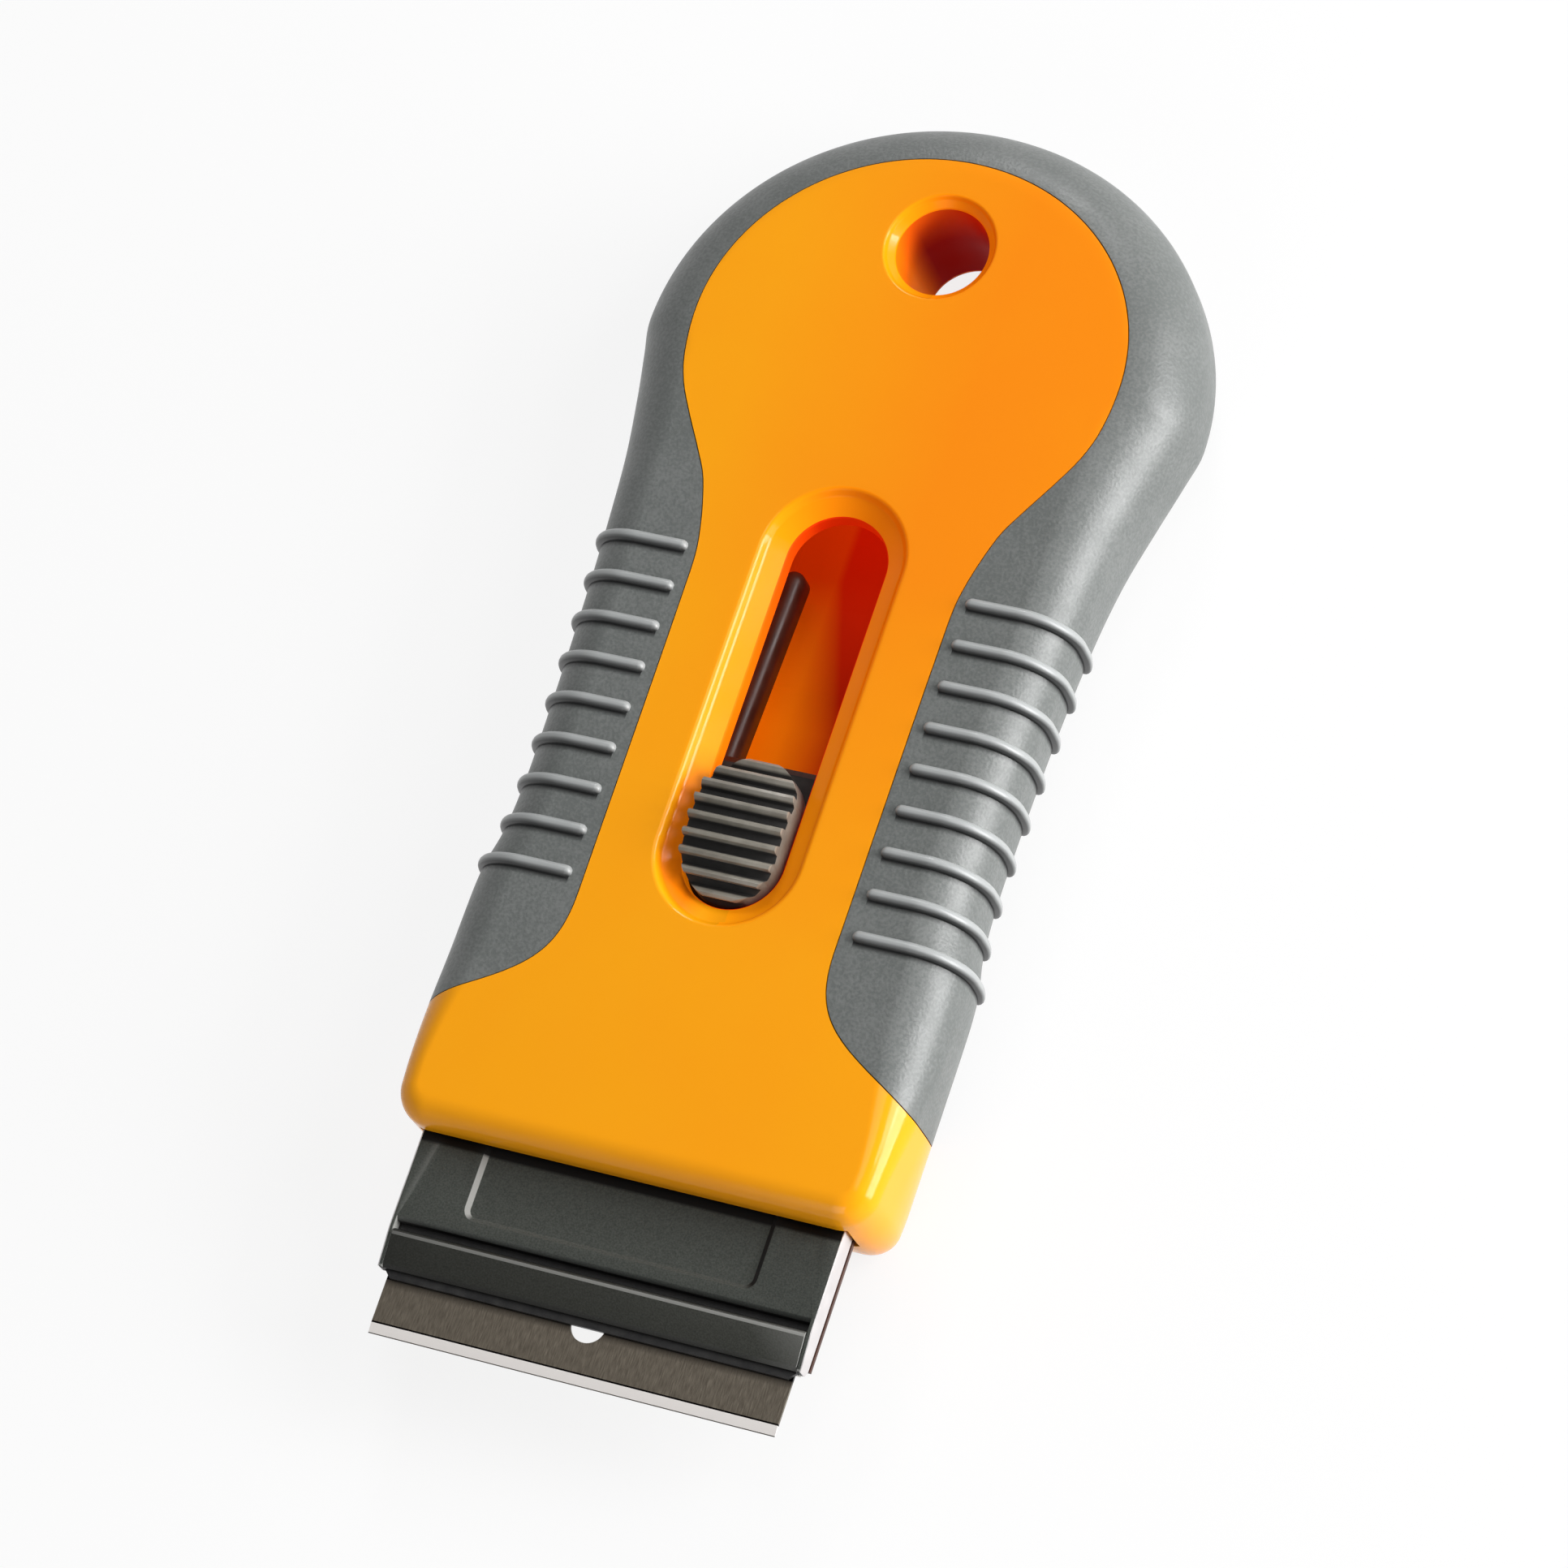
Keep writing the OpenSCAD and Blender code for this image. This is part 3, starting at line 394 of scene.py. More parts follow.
# %% A finish and its grain
def new_finish(name, colour, roughness, **constants):
    """A material with a Principled shader; constants go on its own sockets."""
    material = bpy.data.materials.new(name)
    material.use_nodes = True
    shader = material.node_tree.nodes["Principled BSDF"]
    shader.inputs["Base Color"].default_value = (*colour, 1)
    shader.inputs["Roughness"].default_value = roughness
    for socket, value in constants.items():
        shader.inputs[socket.replace("_", " ")].default_value = value
    print("finish:", name)
    return material, material.node_tree, shader


def grain(tree, size_mm, detail=2.0, stretch=(1, 1, 1)):
    """Noise whose lumps are about size_mm across, drawn out by stretch along x, y and z."""
    where = tree.nodes.new("ShaderNodeTexCoord")
    scale = tree.nodes.new("ShaderNodeMapping")
    scale.inputs["Scale"].default_value = [1 / (mm(size_mm) * s) for s in stretch]
    noise = tree.nodes.new("ShaderNodeTexNoise")
    noise.inputs["Scale"].default_value = 1
    noise.inputs["Detail"].default_value = detail
    tree.links.new(where.outputs["Object"], scale.inputs["Vector"])
    tree.links.new(scale.outputs[0], noise.inputs["Vector"])
    return noise.outputs["Fac"]


def spread(tree, source, low, high, from_low=0.3, from_high=0.7):
    """Maps a value's range to the range from low to high, and stops at both ends."""
    node = tree.nodes.new("ShaderNodeMapRange")
    node.inputs["From Min"].default_value = from_low
    node.inputs["From Max"].default_value = from_high
    node.inputs["To Min"].default_value = low
    node.inputs["To Max"].default_value = high
    tree.links.new(source, node.inputs["Value"])
    return node.outputs["Result"]


print("a grain of 0.2 mm puts", round(1 / mm(0.2)), "lumps in a metre")

# %% Mixing colours and numbers
MIX_FIRST, MIX_SECOND, MIX_RESULT = 6, 7, 2     # the colour sockets of a Mix node


def blend_colours(tree, share, first, second):
    """Mixes two colours, or the sockets of two colours."""
    node = tree.nodes.new("ShaderNodeMix")
    node.data_type = "RGBA"
    tree.links.new(share, node.inputs["Factor"])
    for socket, value in ((node.inputs[MIX_FIRST], first), (node.inputs[MIX_SECOND], second)):
        if isinstance(value, bpy.types.NodeSocket):
            tree.links.new(value, socket)
        else:
            socket.default_value = (*value, 1)
    return node.outputs[MIX_RESULT]


def layered(tree, base, *layers):
    """Lays (share, colour) layers over a base colour, one after the other."""
    for share, colour in layers:
        base = blend_colours(tree, share, base, colour)
    return base


def combine(tree, operation, first, second):
    """One Math node on two sockets or numbers."""
    node = tree.nodes.new("ShaderNodeMath")
    node.operation = operation
    for socket, value in zip(node.inputs, (first, second)):
        if isinstance(value, bpy.types.NodeSocket):
            tree.links.new(value, socket)
        else:
            socket.default_value = value
    return node.outputs[0]


def product(tree, first, *others):
    """All the factors multiplied, one after the other."""
    for factor in others:
        first = combine(tree, "MULTIPLY", first, factor)
    return first


def absolute(tree, source):
    """A value without its sign."""
    return combine(tree, "ABSOLUTE", source, 0)


print("a Mix node takes its colours at sockets", MIX_FIRST, "and", MIX_SECOND)

# %% Where a point is, and which way it faces
def coordinate(tree, kind, axis):
    """One axis of the object's own coordinates of a kind."""
    where = tree.nodes.new("ShaderNodeTexCoord")
    split = tree.nodes.new("ShaderNodeSeparateXYZ")
    tree.links.new(where.outputs[kind], split.inputs[0])
    return split.outputs[axis]


def place(tree, axis):
    """The object's own x, y or z in metres."""
    return coordinate(tree, "Object", axis)


def turned(tree, axis):
    """How far the surface turns along the object's own x, y or z, from -1 to 1."""
    return coordinate(tree, "Normal", axis)


def ramp(tree, axis, low, high, start, end):
    """Runs from low to high between two places on an axis."""
    return spread(tree, place(tree, axis), low, high, start, end)


# %% Onto the shader, and onto the tool
def feed(shader, socket, source):
    """Links a source to one of the shader's sockets."""
    shader.id_data.links.new(source, shader.inputs[socket])


def raise_surface(tree, shader, height, depth_mm):
    """Lets a height from 0 to 1 stand depth_mm proud, through the shader's normal."""
    node = tree.nodes.new("ShaderNodeBump")
    node.inputs["Distance"].default_value = mm(depth_mm)
    node.inputs["Strength"].default_value = 1
    tree.links.new(height, node.inputs["Height"])
    feed(shader, "Normal", node.outputs[0])


def mottle(tree, shader, noise, first, second, smooth, dull):
    """Lets one noise drift the colour from first to second, and the roughness from smooth to dull."""
    feed(shader, "Base Color", blend_colours(tree, spread(tree, noise, 0, 1), first, second))
    feed(shader, "Roughness", spread(tree, noise, smooth, dull))


def coat_nodes(names, material):
    """Gives CAD nodes a finish in place of their plain packed one."""
    for name in names:
        for slot in nodes[name].material_slots:
            slot.material = material
    print(material.name, "->", ", ".join(names))


print("nodes to finish:", len(nodes))

# %% [markdown]
# ## Orange plastic, outside and inside
#
# The face is glossy moulded plastic. The gloss comes from a polished mould, so its roughness is
# low, but not zero: a very faint waviness, about a millimetre long, breaks the reflections up. The
# colour drifts a little at random, and a painted shade takes it from a yellow orange near the mouth
# to a redder one at the right of the head. Inside the slot and the hole, light bounces from orange
# to orange and gets redder each time, and a little seeps through the walls, which aren't quite
# opaque. So the inside has its own dull finish with that light painted in: painted shade from
# orange to deep red, and a faint painted glow. The rim is redder in the button's painted shadow.
# The back cover shows both finishes, and the rims that face away from the lamps have a copy of the
# glossy one with less shine and a little of the painted glow.

# %% Orange plastic of the skin
ORANGE_YELLOW = (0.965, 0.372, 0.004)
# painted shade: the face turns from yellow to this redder orange towards the right of the head
ORANGE_SHADE_RED = (0.955, 0.262, 0.003)
ORANGE_SHADED = (0.96, 0.19, 0.001)
MOUTH_END, HEAD_SIDE = from_mouth(22), from_mouth(60)


def orange_tone_and_shade(tree):
    """Orange drifting at random, with painted shade from yellow orange at the mouth to redder at the
    head's right.
    """
    # painted shade: redder towards the right and towards the head
    shade_towards_head = product(tree, ramp(tree, "X", 0.1, 1, mm(-14), mm(8)),
                           ramp(tree, "Y", 0.1, 1, MOUTH_END, HEAD_SIDE))
    clouds = spread(tree, grain(tree, 14, detail=3), -0.08, 0.08)
    return blend_colours(tree, combine(tree, "ADD", shade_towards_head, clouds), ORANGE_YELLOW, ORANGE_SHADE_RED)


def in_button_shadow(tree):
    """Up to 0.8 on the sunken rim at the left of the button, and 0 elsewhere."""
    return product(tree, ramp(tree, "Z", 1, 0, mm(13.4), mm(13.95)),
                   ramp(tree, "Y", 0.8, 0, from_mouth(35), from_mouth(40)),
                   ramp(tree, "Y", 0, 1, from_mouth(21), from_mouth(24)),
                   ramp(tree, "X", 0, 1, mm(-9), mm(-8)), ramp(tree, "X", 1, 0, mm(-3), mm(-1)))


orange_plastic, tree, shader = new_finish("orange_plastic_finish", ORANGE_YELLOW, 0.16,
                                          IOR=1.5, Specular_IOR_Level=0.24)
feed(shader, "Base Color", layered(tree, orange_tone_and_shade(tree), (in_button_shadow(tree), ORANGE_SHADED)))
feed(shader, "Roughness", spread(tree, grain(tree, 5, detail=5), 0.12, 0.2))
raise_surface(tree, shader, grain(tree, 0.8, detail=1), 0.003)

# %% The same plastic with a painted glow, where a rim turns away from the lamps
orange_rim_glow = orange_plastic.copy()
orange_rim_glow.name = "orange_rim_glow_finish"
rim_shader = orange_rim_glow.node_tree.nodes["Principled BSDF"]
rim_shader.inputs["Specular IOR Level"].default_value = 0.05
# painted glow: a faint red emission stands in for light bounced into these rims
rim_shader.inputs["Emission Color"].default_value = (0.13, 0.006, 0, 1)
rim_shader.inputs["Emission Strength"].default_value = 1
print("finish:", orange_rim_glow.name)

# %% Orange plastic seen from inside, with painted shade and a painted glow
# painted shade: the deep red stands in for bounced light and for the sides away from the lamps
INSIDE_ORANGE = (0.96, 0.155, 0.003)
INSIDE_SHADE_RED = (0.72, 0.028, 0.002)
# painted glow: these emission colours stand in for light bounced inside and seeping through the walls
PAINTED_GLOW_ORANGE = (0.34, 0.09, 0)
PAINTED_GLOW_RED = (0.23, 0.008, 0)
# painted shade and painted glow on the side of the hole that the lamps don't reach
HOLE_SHADE, HOLE_PAINTED_GLOW = (0.3, 0.01, 0.001), (0.05, 0, 0)
NO_GLOW = (0, 0, 0)
COVER_BACK, HEAD_START = mm(0.9), from_mouth(75)
ACROSS_X, ACROSS_Y = 0.656, 0.755           # the direction that runs across the photograph

orange_inside_shade_and_glow, tree, shader = new_finish("orange_inside_shade_and_glow_finish", INSIDE_ORANGE, 0.5,
                                         IOR=1.5, Specular_IOR_Level=0.03, Emission_Strength=1)
on_back = combine(tree, "LESS_THAN", place(tree, "Z"), COVER_BACK)
in_slot = combine(tree, "LESS_THAN", place(tree, "Y"), HEAD_START)
# painted shade: redder towards the slot's right side and towards its end at the head
deep = product(tree, ramp(tree, "Y", 0, 0.85, from_mouth(47), from_mouth(62)), in_slot)
shade_redness = combine(tree, "ADD", ramp(tree, "X", 0, 1, mm(-3.8), mm(1.5)), deep)
shade_redness.node.use_clamp = True
# painted shade on the side of the hole that the lamps don't reach
across_hole = combine(
    tree, "ADD", product(tree, place(tree, "X"), ACROSS_X),
    product(tree, combine(tree, "SUBTRACT", place(tree, "Y"), from_mouth(HANG_S)), ACROSS_Y))
hole_shade = product(tree, spread(tree, across_hole, 0, 1, mm(-3), mm(-0.6)),
                    ramp(tree, "Z", 1, 0.35, mm(7.5), mm(13)), combine(tree, "SUBTRACT", 1, in_slot))
hole_glow_share = spread(tree, across_hole, 0.9, 0.2, mm(-3.4), mm(-1))
glow_near_top = combine(tree, "MAXIMUM", ramp(tree, "Z", 0, 0.9, mm(2.5), mm(9)), product(tree, deep, 0.5))
inside_with_painted_shade = layered(tree, INSIDE_ORANGE, (shade_redness, INSIDE_SHADE_RED), (hole_shade, HOLE_SHADE),
                (on_back, orange_tone_and_shade(tree)))
# painted glow: weaker in the hole's painted shade, and none on the back
glow = blend_colours(tree, shade_redness, PAINTED_GLOW_ORANGE, blend_colours(tree, glow_near_top, NO_GLOW, PAINTED_GLOW_RED))
glow = blend_colours(tree, combine(tree, "MAXIMUM", in_slot, hole_glow_share), NO_GLOW, glow)
glow = layered(tree, glow, (hole_shade, HOLE_PAINTED_GLOW), (on_back, NO_GLOW))
feed(shader, "Base Color", inside_with_painted_shade)
feed(shader, "Emission Color", glow)
satin = spread(tree, grain(tree, 5, detail=5), 0.44, 0.56)
feed(shader, "Roughness", combine(tree, "SUBTRACT", satin, product(tree, on_back, 0.3)))
raise_surface(tree, shader, grain(tree, 0.8, detail=1), 0.004)
soften("rear_cover", 0.12)
coat_nodes(["rear_cover"], orange_inside_shade_and_glow)

# %% [markdown]
# ## Cutting the orange shell
#
# The slot and the hole have a sunken rim: a rounded edge, a short steep step, a gentle slope and
# the edge of the wall. Each bend between them catches its own thin line of light, which is what
# the photograph shows as a double line. So the profile is drawn as corners, and each corner is
# given its radius. The faces inside the slot and the hole, and the rims that face away from the
# lamps, then get finishes of their own, which carry painted shade and a painted glow.

# %% Profiles with rounded corners
CORNER_REACH, CORNER_PULL = 0.95, 0.6


def rounded(corners, steps=8):
    """A profile of (r, z) through corners of (r, z, radius)."""
    profile = []
    for k, (r, z, radius) in enumerate(corners):
        here = Vector((r, z))
        if not radius:
            profile.append(here)
            continue
        back, ahead = (Vector(corners[k + way][:2]) - here for way in (-1, 1))
        half = back.angle(ahead) / 2
        reach = min(radius / math.tan(half), back.length * CORNER_REACH, ahead.length * CORNER_REACH)
        start, end = here + back.normalized() * reach, here + ahead.normalized() * reach
        pulls = [start, start.lerp(here, CORNER_PULL), end.lerp(here, CORNER_PULL), end]
        profile += [bezier(pulls, i / steps) for i in range(steps + 1)]
    return profile


def stadium(r, z, half_length, middle, steps=40):
    """A ring of two half circles, half_length before and behind the middle."""
    ends = [(way, math.pi * k / steps) for way in (1, -1) for k in range(steps + 1)]
    return [(way * r * math.cos(a), middle + way * (half_length + r * math.sin(a)), z)
            for way, a in ends]


def circle(r, z, middle, x=0, steps=96):
    """A ring round the point (x, middle)."""
    turns = [2 * math.pi * k / steps for k in range(steps)]
    return [(x + r * math.cos(a), middle + r * math.sin(a), z) for a in turns]


SLOT_R, RIM_R, SLOT_HALF, SLOT_MIDDLE = 4.75, 7.2, 14.55, FRONT_Y + SLOT_S
HANG_R, HANG_MIDDLE = 4.4, FRONT_Y + HANG_S
OVER_TOP = BODY_T + OVERRUN
slot_profile = rounded([
    (SLOT_R, ROOF_Z - OVERRUN, 0), (SLOT_R, 12.5, 0.25), (6.5, 13.5, 0.6), (6.95, BODY_T, 0.5),
    (RIM_R + 0.2, BODY_T, 0), (RIM_R + 0.2, OVER_TOP, 0)])
hang_profile = rounded([
    (HANG_R + 1, -OVERRUN, 0), (HANG_R + 1, 0, 0), (HANG_R, 0, 1), (HANG_R, 13.2, 0.3),
    (5.05, 13.75, 0.35), (5.3, BODY_T, 0.3), (HANG_R + 1.3, BODY_T, 0), (HANG_R + 1.3, OVER_TOP, 0)])
print("slot profile:", len(slot_profile), "points; hole profile:", len(hang_profile), "points")

# %% The orange shell
COVER_INSET, TUBE_R, INTO_ROOF = 0.55, 6.2, 12
CHANNEL_Z, CHANNELS = 6.65, ((20.6, -OVERRUN, 28.3), (19.6, 0, 33))     # half width, start, end
BOSS_R, BOSS_X, BOSS_START_Z, BOSS_STEPS, BOSS_PLACES = 2.6, 13.2, 3.2, 32, (38, 84)
SKIN_STEPS, UNDER_STEPS = 18, 8
cavity = [drawn_in(point, curve_at(under_w, point[1]) + COVER_INSET) for point in outline]
shell_jobs = [
    ("INTERSECT", prism("hard", hard_plan(0), -OVERRUN, OVER_TOP)),
    ("UNION", skin("under_rubber", GRIP_T, UNDER_STEPS)),
    ("DIFFERENCE", prism("hollow", cavity, -OVERRUN, ROOF_Z)),
]
for half_w, s0, s1 in CHANNELS:
    plan = [(x, FRONT_Y + s) for x, s in ((-half_w, s0), (half_w, s0), (half_w, s1), (-half_w, s1))]
    shell_jobs.append(("DIFFERENCE", prism("channel", plan, CHANNEL_Z, ROOF_Z)))
tube = ring_solid("tube", [circle(TUBE_R, z, HANG_MIDDLE) for z in (0, INTO_ROOF)])
shell_jobs.append(("UNION", tube))
for x in (-BOSS_X, BOSS_X):
    for s in BOSS_PLACES:
        rings = [circle(BOSS_R, z, FRONT_Y + s, x, BOSS_STEPS) for z in (BOSS_START_Z, INTO_ROOF)]
        shell_jobs.append(("UNION", ring_solid("boss", rings)))
slot = ring_solid("slot", [stadium(r, z, SLOT_HALF, SLOT_MIDDLE) for r, z in slot_profile])
hole = ring_solid("hole", [circle(r, z, HANG_MIDDLE) for r, z in hang_profile])
shell_jobs += [("DIFFERENCE", slot), ("DIFFERENCE", hole)]
orange_shell = carve("orange_shell", skin("shell_start", 0, SKIN_STEPS), *shell_jobs)

# %% The finishes of its faces
INSIDE, RIM = 1, 2
INSIDE_FLOOR, INSIDE_TOP, INSIDE_HALF_W, RIM_HALF_W = mm(0.5), mm(12.7), mm(20), mm(7.3)
INSIDE_START, INSIDE_END = from_mouth(8), HANG_MIDDLE * MM + mm(7)
TURNED_AWAY = 0.1
for finish in (orange_plastic, orange_inside_shade_and_glow, orange_rim_glow):
    orange_shell.data.materials.append(finish)
for face in orange_shell.data.polygons:
    middle, normal = face.center, face.normal
    behind_mouth = INSIDE_START < middle.y < INSIDE_END and abs(middle.x) < INSIDE_HALF_W
    turned_away = normal.z > TURNED_AWAY and min(normal.x, normal.y) < -TURNED_AWAY
    # painted light: inside faces take the painted shade and glow, rims that face away take the painted
    # glow
    if behind_mouth and INSIDE_FLOOR < middle.z < INSIDE_TOP:
        face.material_index = INSIDE
    elif behind_mouth and abs(middle.x) < RIM_HALF_W and turned_away:
        face.material_index = RIM
given = [face.material_index for face in orange_shell.data.polygons]
print("faces inside:", given.count(INSIDE), "and on rims that face away:", given.count(RIM))
smooth_piece(orange_shell, orange_plastic, "front_shell")

# %% [markdown]
# ## The rubber grip
#
# The soft grip is a matt thermoplastic rubber, moulded over the shell. Its mould was blasted, so
# the surface is a fine pebble of about 0.3 mm, which scatters the light into a broad, slightly
# sparkling band along the shoulder. The ribs were polished a little more. Each rib carries a
# painted highlight on its crest and painted shade on its side towards the blade, and a painted
# shadow lies on the rubber below it. The pebble is bump, because it is far below what a mesh
# should carry, and the ribs are real geometry.

# %% Gray rubber
RUBBER = (0.119, 0.128, 0.123)
RUBBER_WORN = (0.162, 0.17, 0.165)
# painted shade, for the ribs' shadows and their shaded sides
RUBBER_PAINTED_SHADE = (0.02, 0.021, 0.021)
RIB_R, RIB_INNER_X, RIB_START, RIB_PITCH, RIB_COUNT = 0.6, 14.15, 25.2, 4.06, 9
RIBS_MIDDLE, RIBS_HALF = RIB_START + RIB_PITCH * (RIB_COUNT - 1) / 2, RIB_PITCH * RIB_COUNT / 2


def across_ribs(tree):
    """Metres from the middle of the nearest rib, towards the head."""
    from_first = combine(tree, "SUBTRACT", place(tree, "Y"), from_mouth(RIB_START))
    turns = combine(tree, "DIVIDE", from_first, mm(RIB_PITCH))
    nearest = combine(tree, "ROUND", turns, 0)
    return product(tree, combine(tree, "SUBTRACT", turns, nearest), mm(RIB_PITCH))


gray_rubber, tree, shader = new_finish("gray_rubber_finish", RUBBER, 0.4, IOR=1.5)
pebble = grain(tree, 0.3, detail=1.5)
drift = combine(tree, "ADD", spread(tree, grain(tree, 6, detail=4), 0, 0.6),
                spread(tree, pebble, -0.5, 0.7))
from_middle = absolute(tree, combine(tree, "SUBTRACT", place(tree, "Y"), from_mouth(RIBS_MIDDLE)))
rib_band = combine(tree, "LESS_THAN", from_middle, mm(RIBS_HALF))
beside = combine(tree, "GREATER_THAN", absolute(tree, place(tree, "X")), mm(RIB_INNER_X - 0.4))
above = combine(tree, "GREATER_THAN", place(tree, "Z"), mm(5))
# painted shadow: each rib's shadow on the rubber at its side towards the blade
foot = spread(tree, across_ribs(tree), 0, 1, mm(-1.1), mm(-0.65))
at_foot = combine(tree, "LESS_THAN", across_ribs(tree), 0)
painted_rib_shadow = product(tree, foot, at_foot, beside, above, rib_band)
feed(shader, "Base Color", layered(tree, RUBBER, (drift, RUBBER_WORN), (painted_rib_shadow, RUBBER_PAINTED_SHADE)))
feed(shader, "Roughness", spread(tree, grain(tree, 2.5, detail=4), 0.36, 0.44))
raise_surface(tree, shader, pebble, 0.032)

# %% Polished rubber of the ribs, with a painted highlight and painted shade
RIB_CREST_HIGHLIGHT = (0.34, 0.352, 0.35)

rib_rubber_painted_light, tree, shader = new_finish("polished_rubber_painted_light_finish", RIB_CREST_HIGHLIGHT, 0.34, IOR=1.5)
# painted light: a light crest and head side, painted shade on the side towards the blade
crest_highlight = spread(tree, across_ribs(tree), 0, 1, mm(-0.42), mm(-0.05))
feed(shader, "Base Color", blend_colours(tree, crest_highlight, RUBBER_PAINTED_SHADE, RIB_CREST_HIGHLIGHT))
feed(shader, "Roughness", spread(tree, grain(tree, 3, detail=2), 0.3, 0.4))
raise_surface(tree, shader, grain(tree, 0.25, detail=2), 0.003)

# %% [markdown]
# ## Sweeping the ribs
#
# Nine half round ribs lie across each shoulder, 4.06 mm apart. Each is a round bead whose middle
# runs on the skin, so half of it stands proud: flat over the face, round the shoulder, and down
# the side to where the hand can't feel it. Its ends are round too.

# %% One rib
FLAT_STEPS, BEND_STEPS, DOWN_STEPS, END_STEPS, BEAD_STEPS = 4, 18, 5, 5, 16
RIB_DOWN = math.radians(26)


def rib_path(s):
    """Points on the skin across the shoulder, each with the direction that is out of the skin."""
    x = curve_at(side_stations, s)
    r, w, h = (curve_at(table, s) for table in (upper_r, under_w, under_h))
    path = [(between(RIB_INNER_X, x - r, k / FLAT_STEPS), BODY_T, math.pi / 2)
            for k in range(FLAT_STEPS)]
    for k in range(BEND_STEPS + 1):
        a = math.pi / 2 * (1 - k / BEND_STEPS)
        path.append((x - r + r * math.cos(a), BODY_T - r + r * math.sin(a), a))
    for k in range(DOWN_STEPS + 1):
        a = RIB_DOWN * k / DOWN_STEPS
        path.append((x - w + w * math.cos(a), h - h * math.sin(a),
                     math.atan2(-math.sin(a) / h, math.cos(a) / w)))
    return path


def rib_rings(s, side):
    """Rings of one rib on the right (1) or the left (-1) side, with round ends."""
    path = rib_path(s)
    turns = [math.pi / 2 * k / END_STEPS for k in range(1, END_STEPS)]
    ends = [(RIB_R * math.cos(a), math.sin(a)) for a in turns]
    (x0, z0, a0), (x1, z1, a1) = path[0], path[-1]
    stops = [(x0 - l * math.sin(a0), z0 + l * math.cos(a0), a0, share) for l, share in ends]
    stops += [(x, z, a, 1) for x, z, a in path]
    stops += [(x1 + l * math.sin(a1), z1 - l * math.cos(a1), a1, share) for l, share in reversed(ends)]
    turns = [side * 2 * math.pi * k / BEAD_STEPS for k in range(BEAD_STEPS)]
    return [[(side * (x + RIB_R * share * math.cos(t) * math.cos(a)),
              FRONT_Y + s - RIB_R * share * math.sin(t),
              z + RIB_R * share * math.cos(t) * math.sin(a)) for t in turns]
            for x, z, a, share in stops]


print("one rib:", len(rib_rings(RIB_START, 1)), "rings")

# %% The rubber grip
SEAM_GAP, RIBBED = 0.1, 1
rubber_grip = carve(
    "rubber_grip", skin("grip_start", 0, SKIN_STEPS),
    ("DIFFERENCE", skin("shell_under", GRIP_T, UNDER_STEPS)),
    ("DIFFERENCE", prism("window", hard_plan(SEAM_GAP), -OVERRUN, OVER_TOP)),
    ("DIFFERENCE", prism("back_window", cavity, -OVERRUN, GRIP_T)))
for finish in (gray_rubber, rib_rubber_painted_light):
    rubber_grip.data.materials.append(finish)
body = bmesh.new()
body.from_mesh(rubber_grip.data)
for k in range(RIB_COUNT):
    for side in (1, -1):
        bead = ring_solid("bead", rib_rings(RIB_START + k * RIB_PITCH, side))
        before = len(body.faces)
        body.from_mesh(bead.data)
        body.faces.ensure_lookup_table()
        for face in body.faces[before:]:
            face.material_index = RIBBED
        bpy.data.objects.remove(bead)
body.to_mesh(rubber_grip.data)
body.free()
smooth_piece(rubber_grip, gray_rubber, "grip_overmould")
print("ribs:", 2 * RIB_COUNT)

# %% [markdown]
# ## The blade and its holder
#
# The blade is hardened carbon steel, ground across its width, so fine streaks run from the back to
# the edge, and the bevel is ground finer still and looks almost white. The clamp plate and the bar
# carry a dark gray satin coat over pressed steel. The jaw between them is blackened.

# %% Ground steel of the blade
BLADE_STEEL = (0.2, 0.17, 0.133)
BLADE_LIGHT = (0.29, 0.252, 0.2)
BLADE_SHADED = (0.06, 0.05, 0.04)
BEVEL_STEEL = (0.86, 0.82, 0.79)
# dark: the line where the bevel starts, and painted shadow in the gap ahead of the bar
GRIND_LINE_AND_SHADOW = (0.006, 0.005, 0.005)
blade_start, bar_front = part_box("blade")[0].y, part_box("clamp_bar")[0].y
bevel_end = blade_start + mm(1)

blade_steel, tree, shader = new_finish("blade_steel_finish", BLADE_STEEL, 0.34, Metallic=1.0)
streaks = grain(tree, 0.11, detail=3, stretch=(1, 9, 9))
y = place(tree, "Y")
at_edge = combine(tree, "LESS_THAN", y, blade_start + mm(0.09))
on_bevel = combine(tree, "LESS_THAN", y, bevel_end)
on_line = combine(tree, "LESS_THAN", y, bevel_end + mm(0.16))
# painted shadow of the bar on the blade, darkest just ahead of it
under_bar_shadow = spread(tree, y, 0, 1, bar_front - mm(1.5), bar_front - mm(0.7))
bar_shadow_gap = combine(tree, "GREATER_THAN", y, bar_front - mm(0.75))
steel = layered(tree, BLADE_STEEL, (spread(tree, streaks, 0, 1), BLADE_LIGHT), (under_bar_shadow, BLADE_SHADED),
                (bar_shadow_gap, GRIND_LINE_AND_SHADOW), (on_line, GRIND_LINE_AND_SHADOW), (on_bevel, BEVEL_STEEL),
                (at_edge, BLADE_SHADED))
feed(shader, "Base Color", steel)
feed(shader, "Metallic", combine(tree, "SUBTRACT", 1, product(tree, on_bevel, 0.75)))
feed(shader, "Roughness", spread(tree, streaks, 0.28, 0.42))
raise_surface(tree, shader, streaks, 0.006)
soften("blade", 0)
coat_nodes(["blade"], blade_steel)

# %% Satin coat of the clamp, with painted highlights and painted shade
SHEARED_STEEL = (0.82, 0.79, 0.79)
COAT_HIGHLIGHT = (0.3, 0.3, 0.285)
COAT_SHADE = (0.004, 0.004, 0.004)
PLATE_GRAY, PLATE_LIGHT = (0.042, 0.046, 0.041), (0.069, 0.074, 0.066)
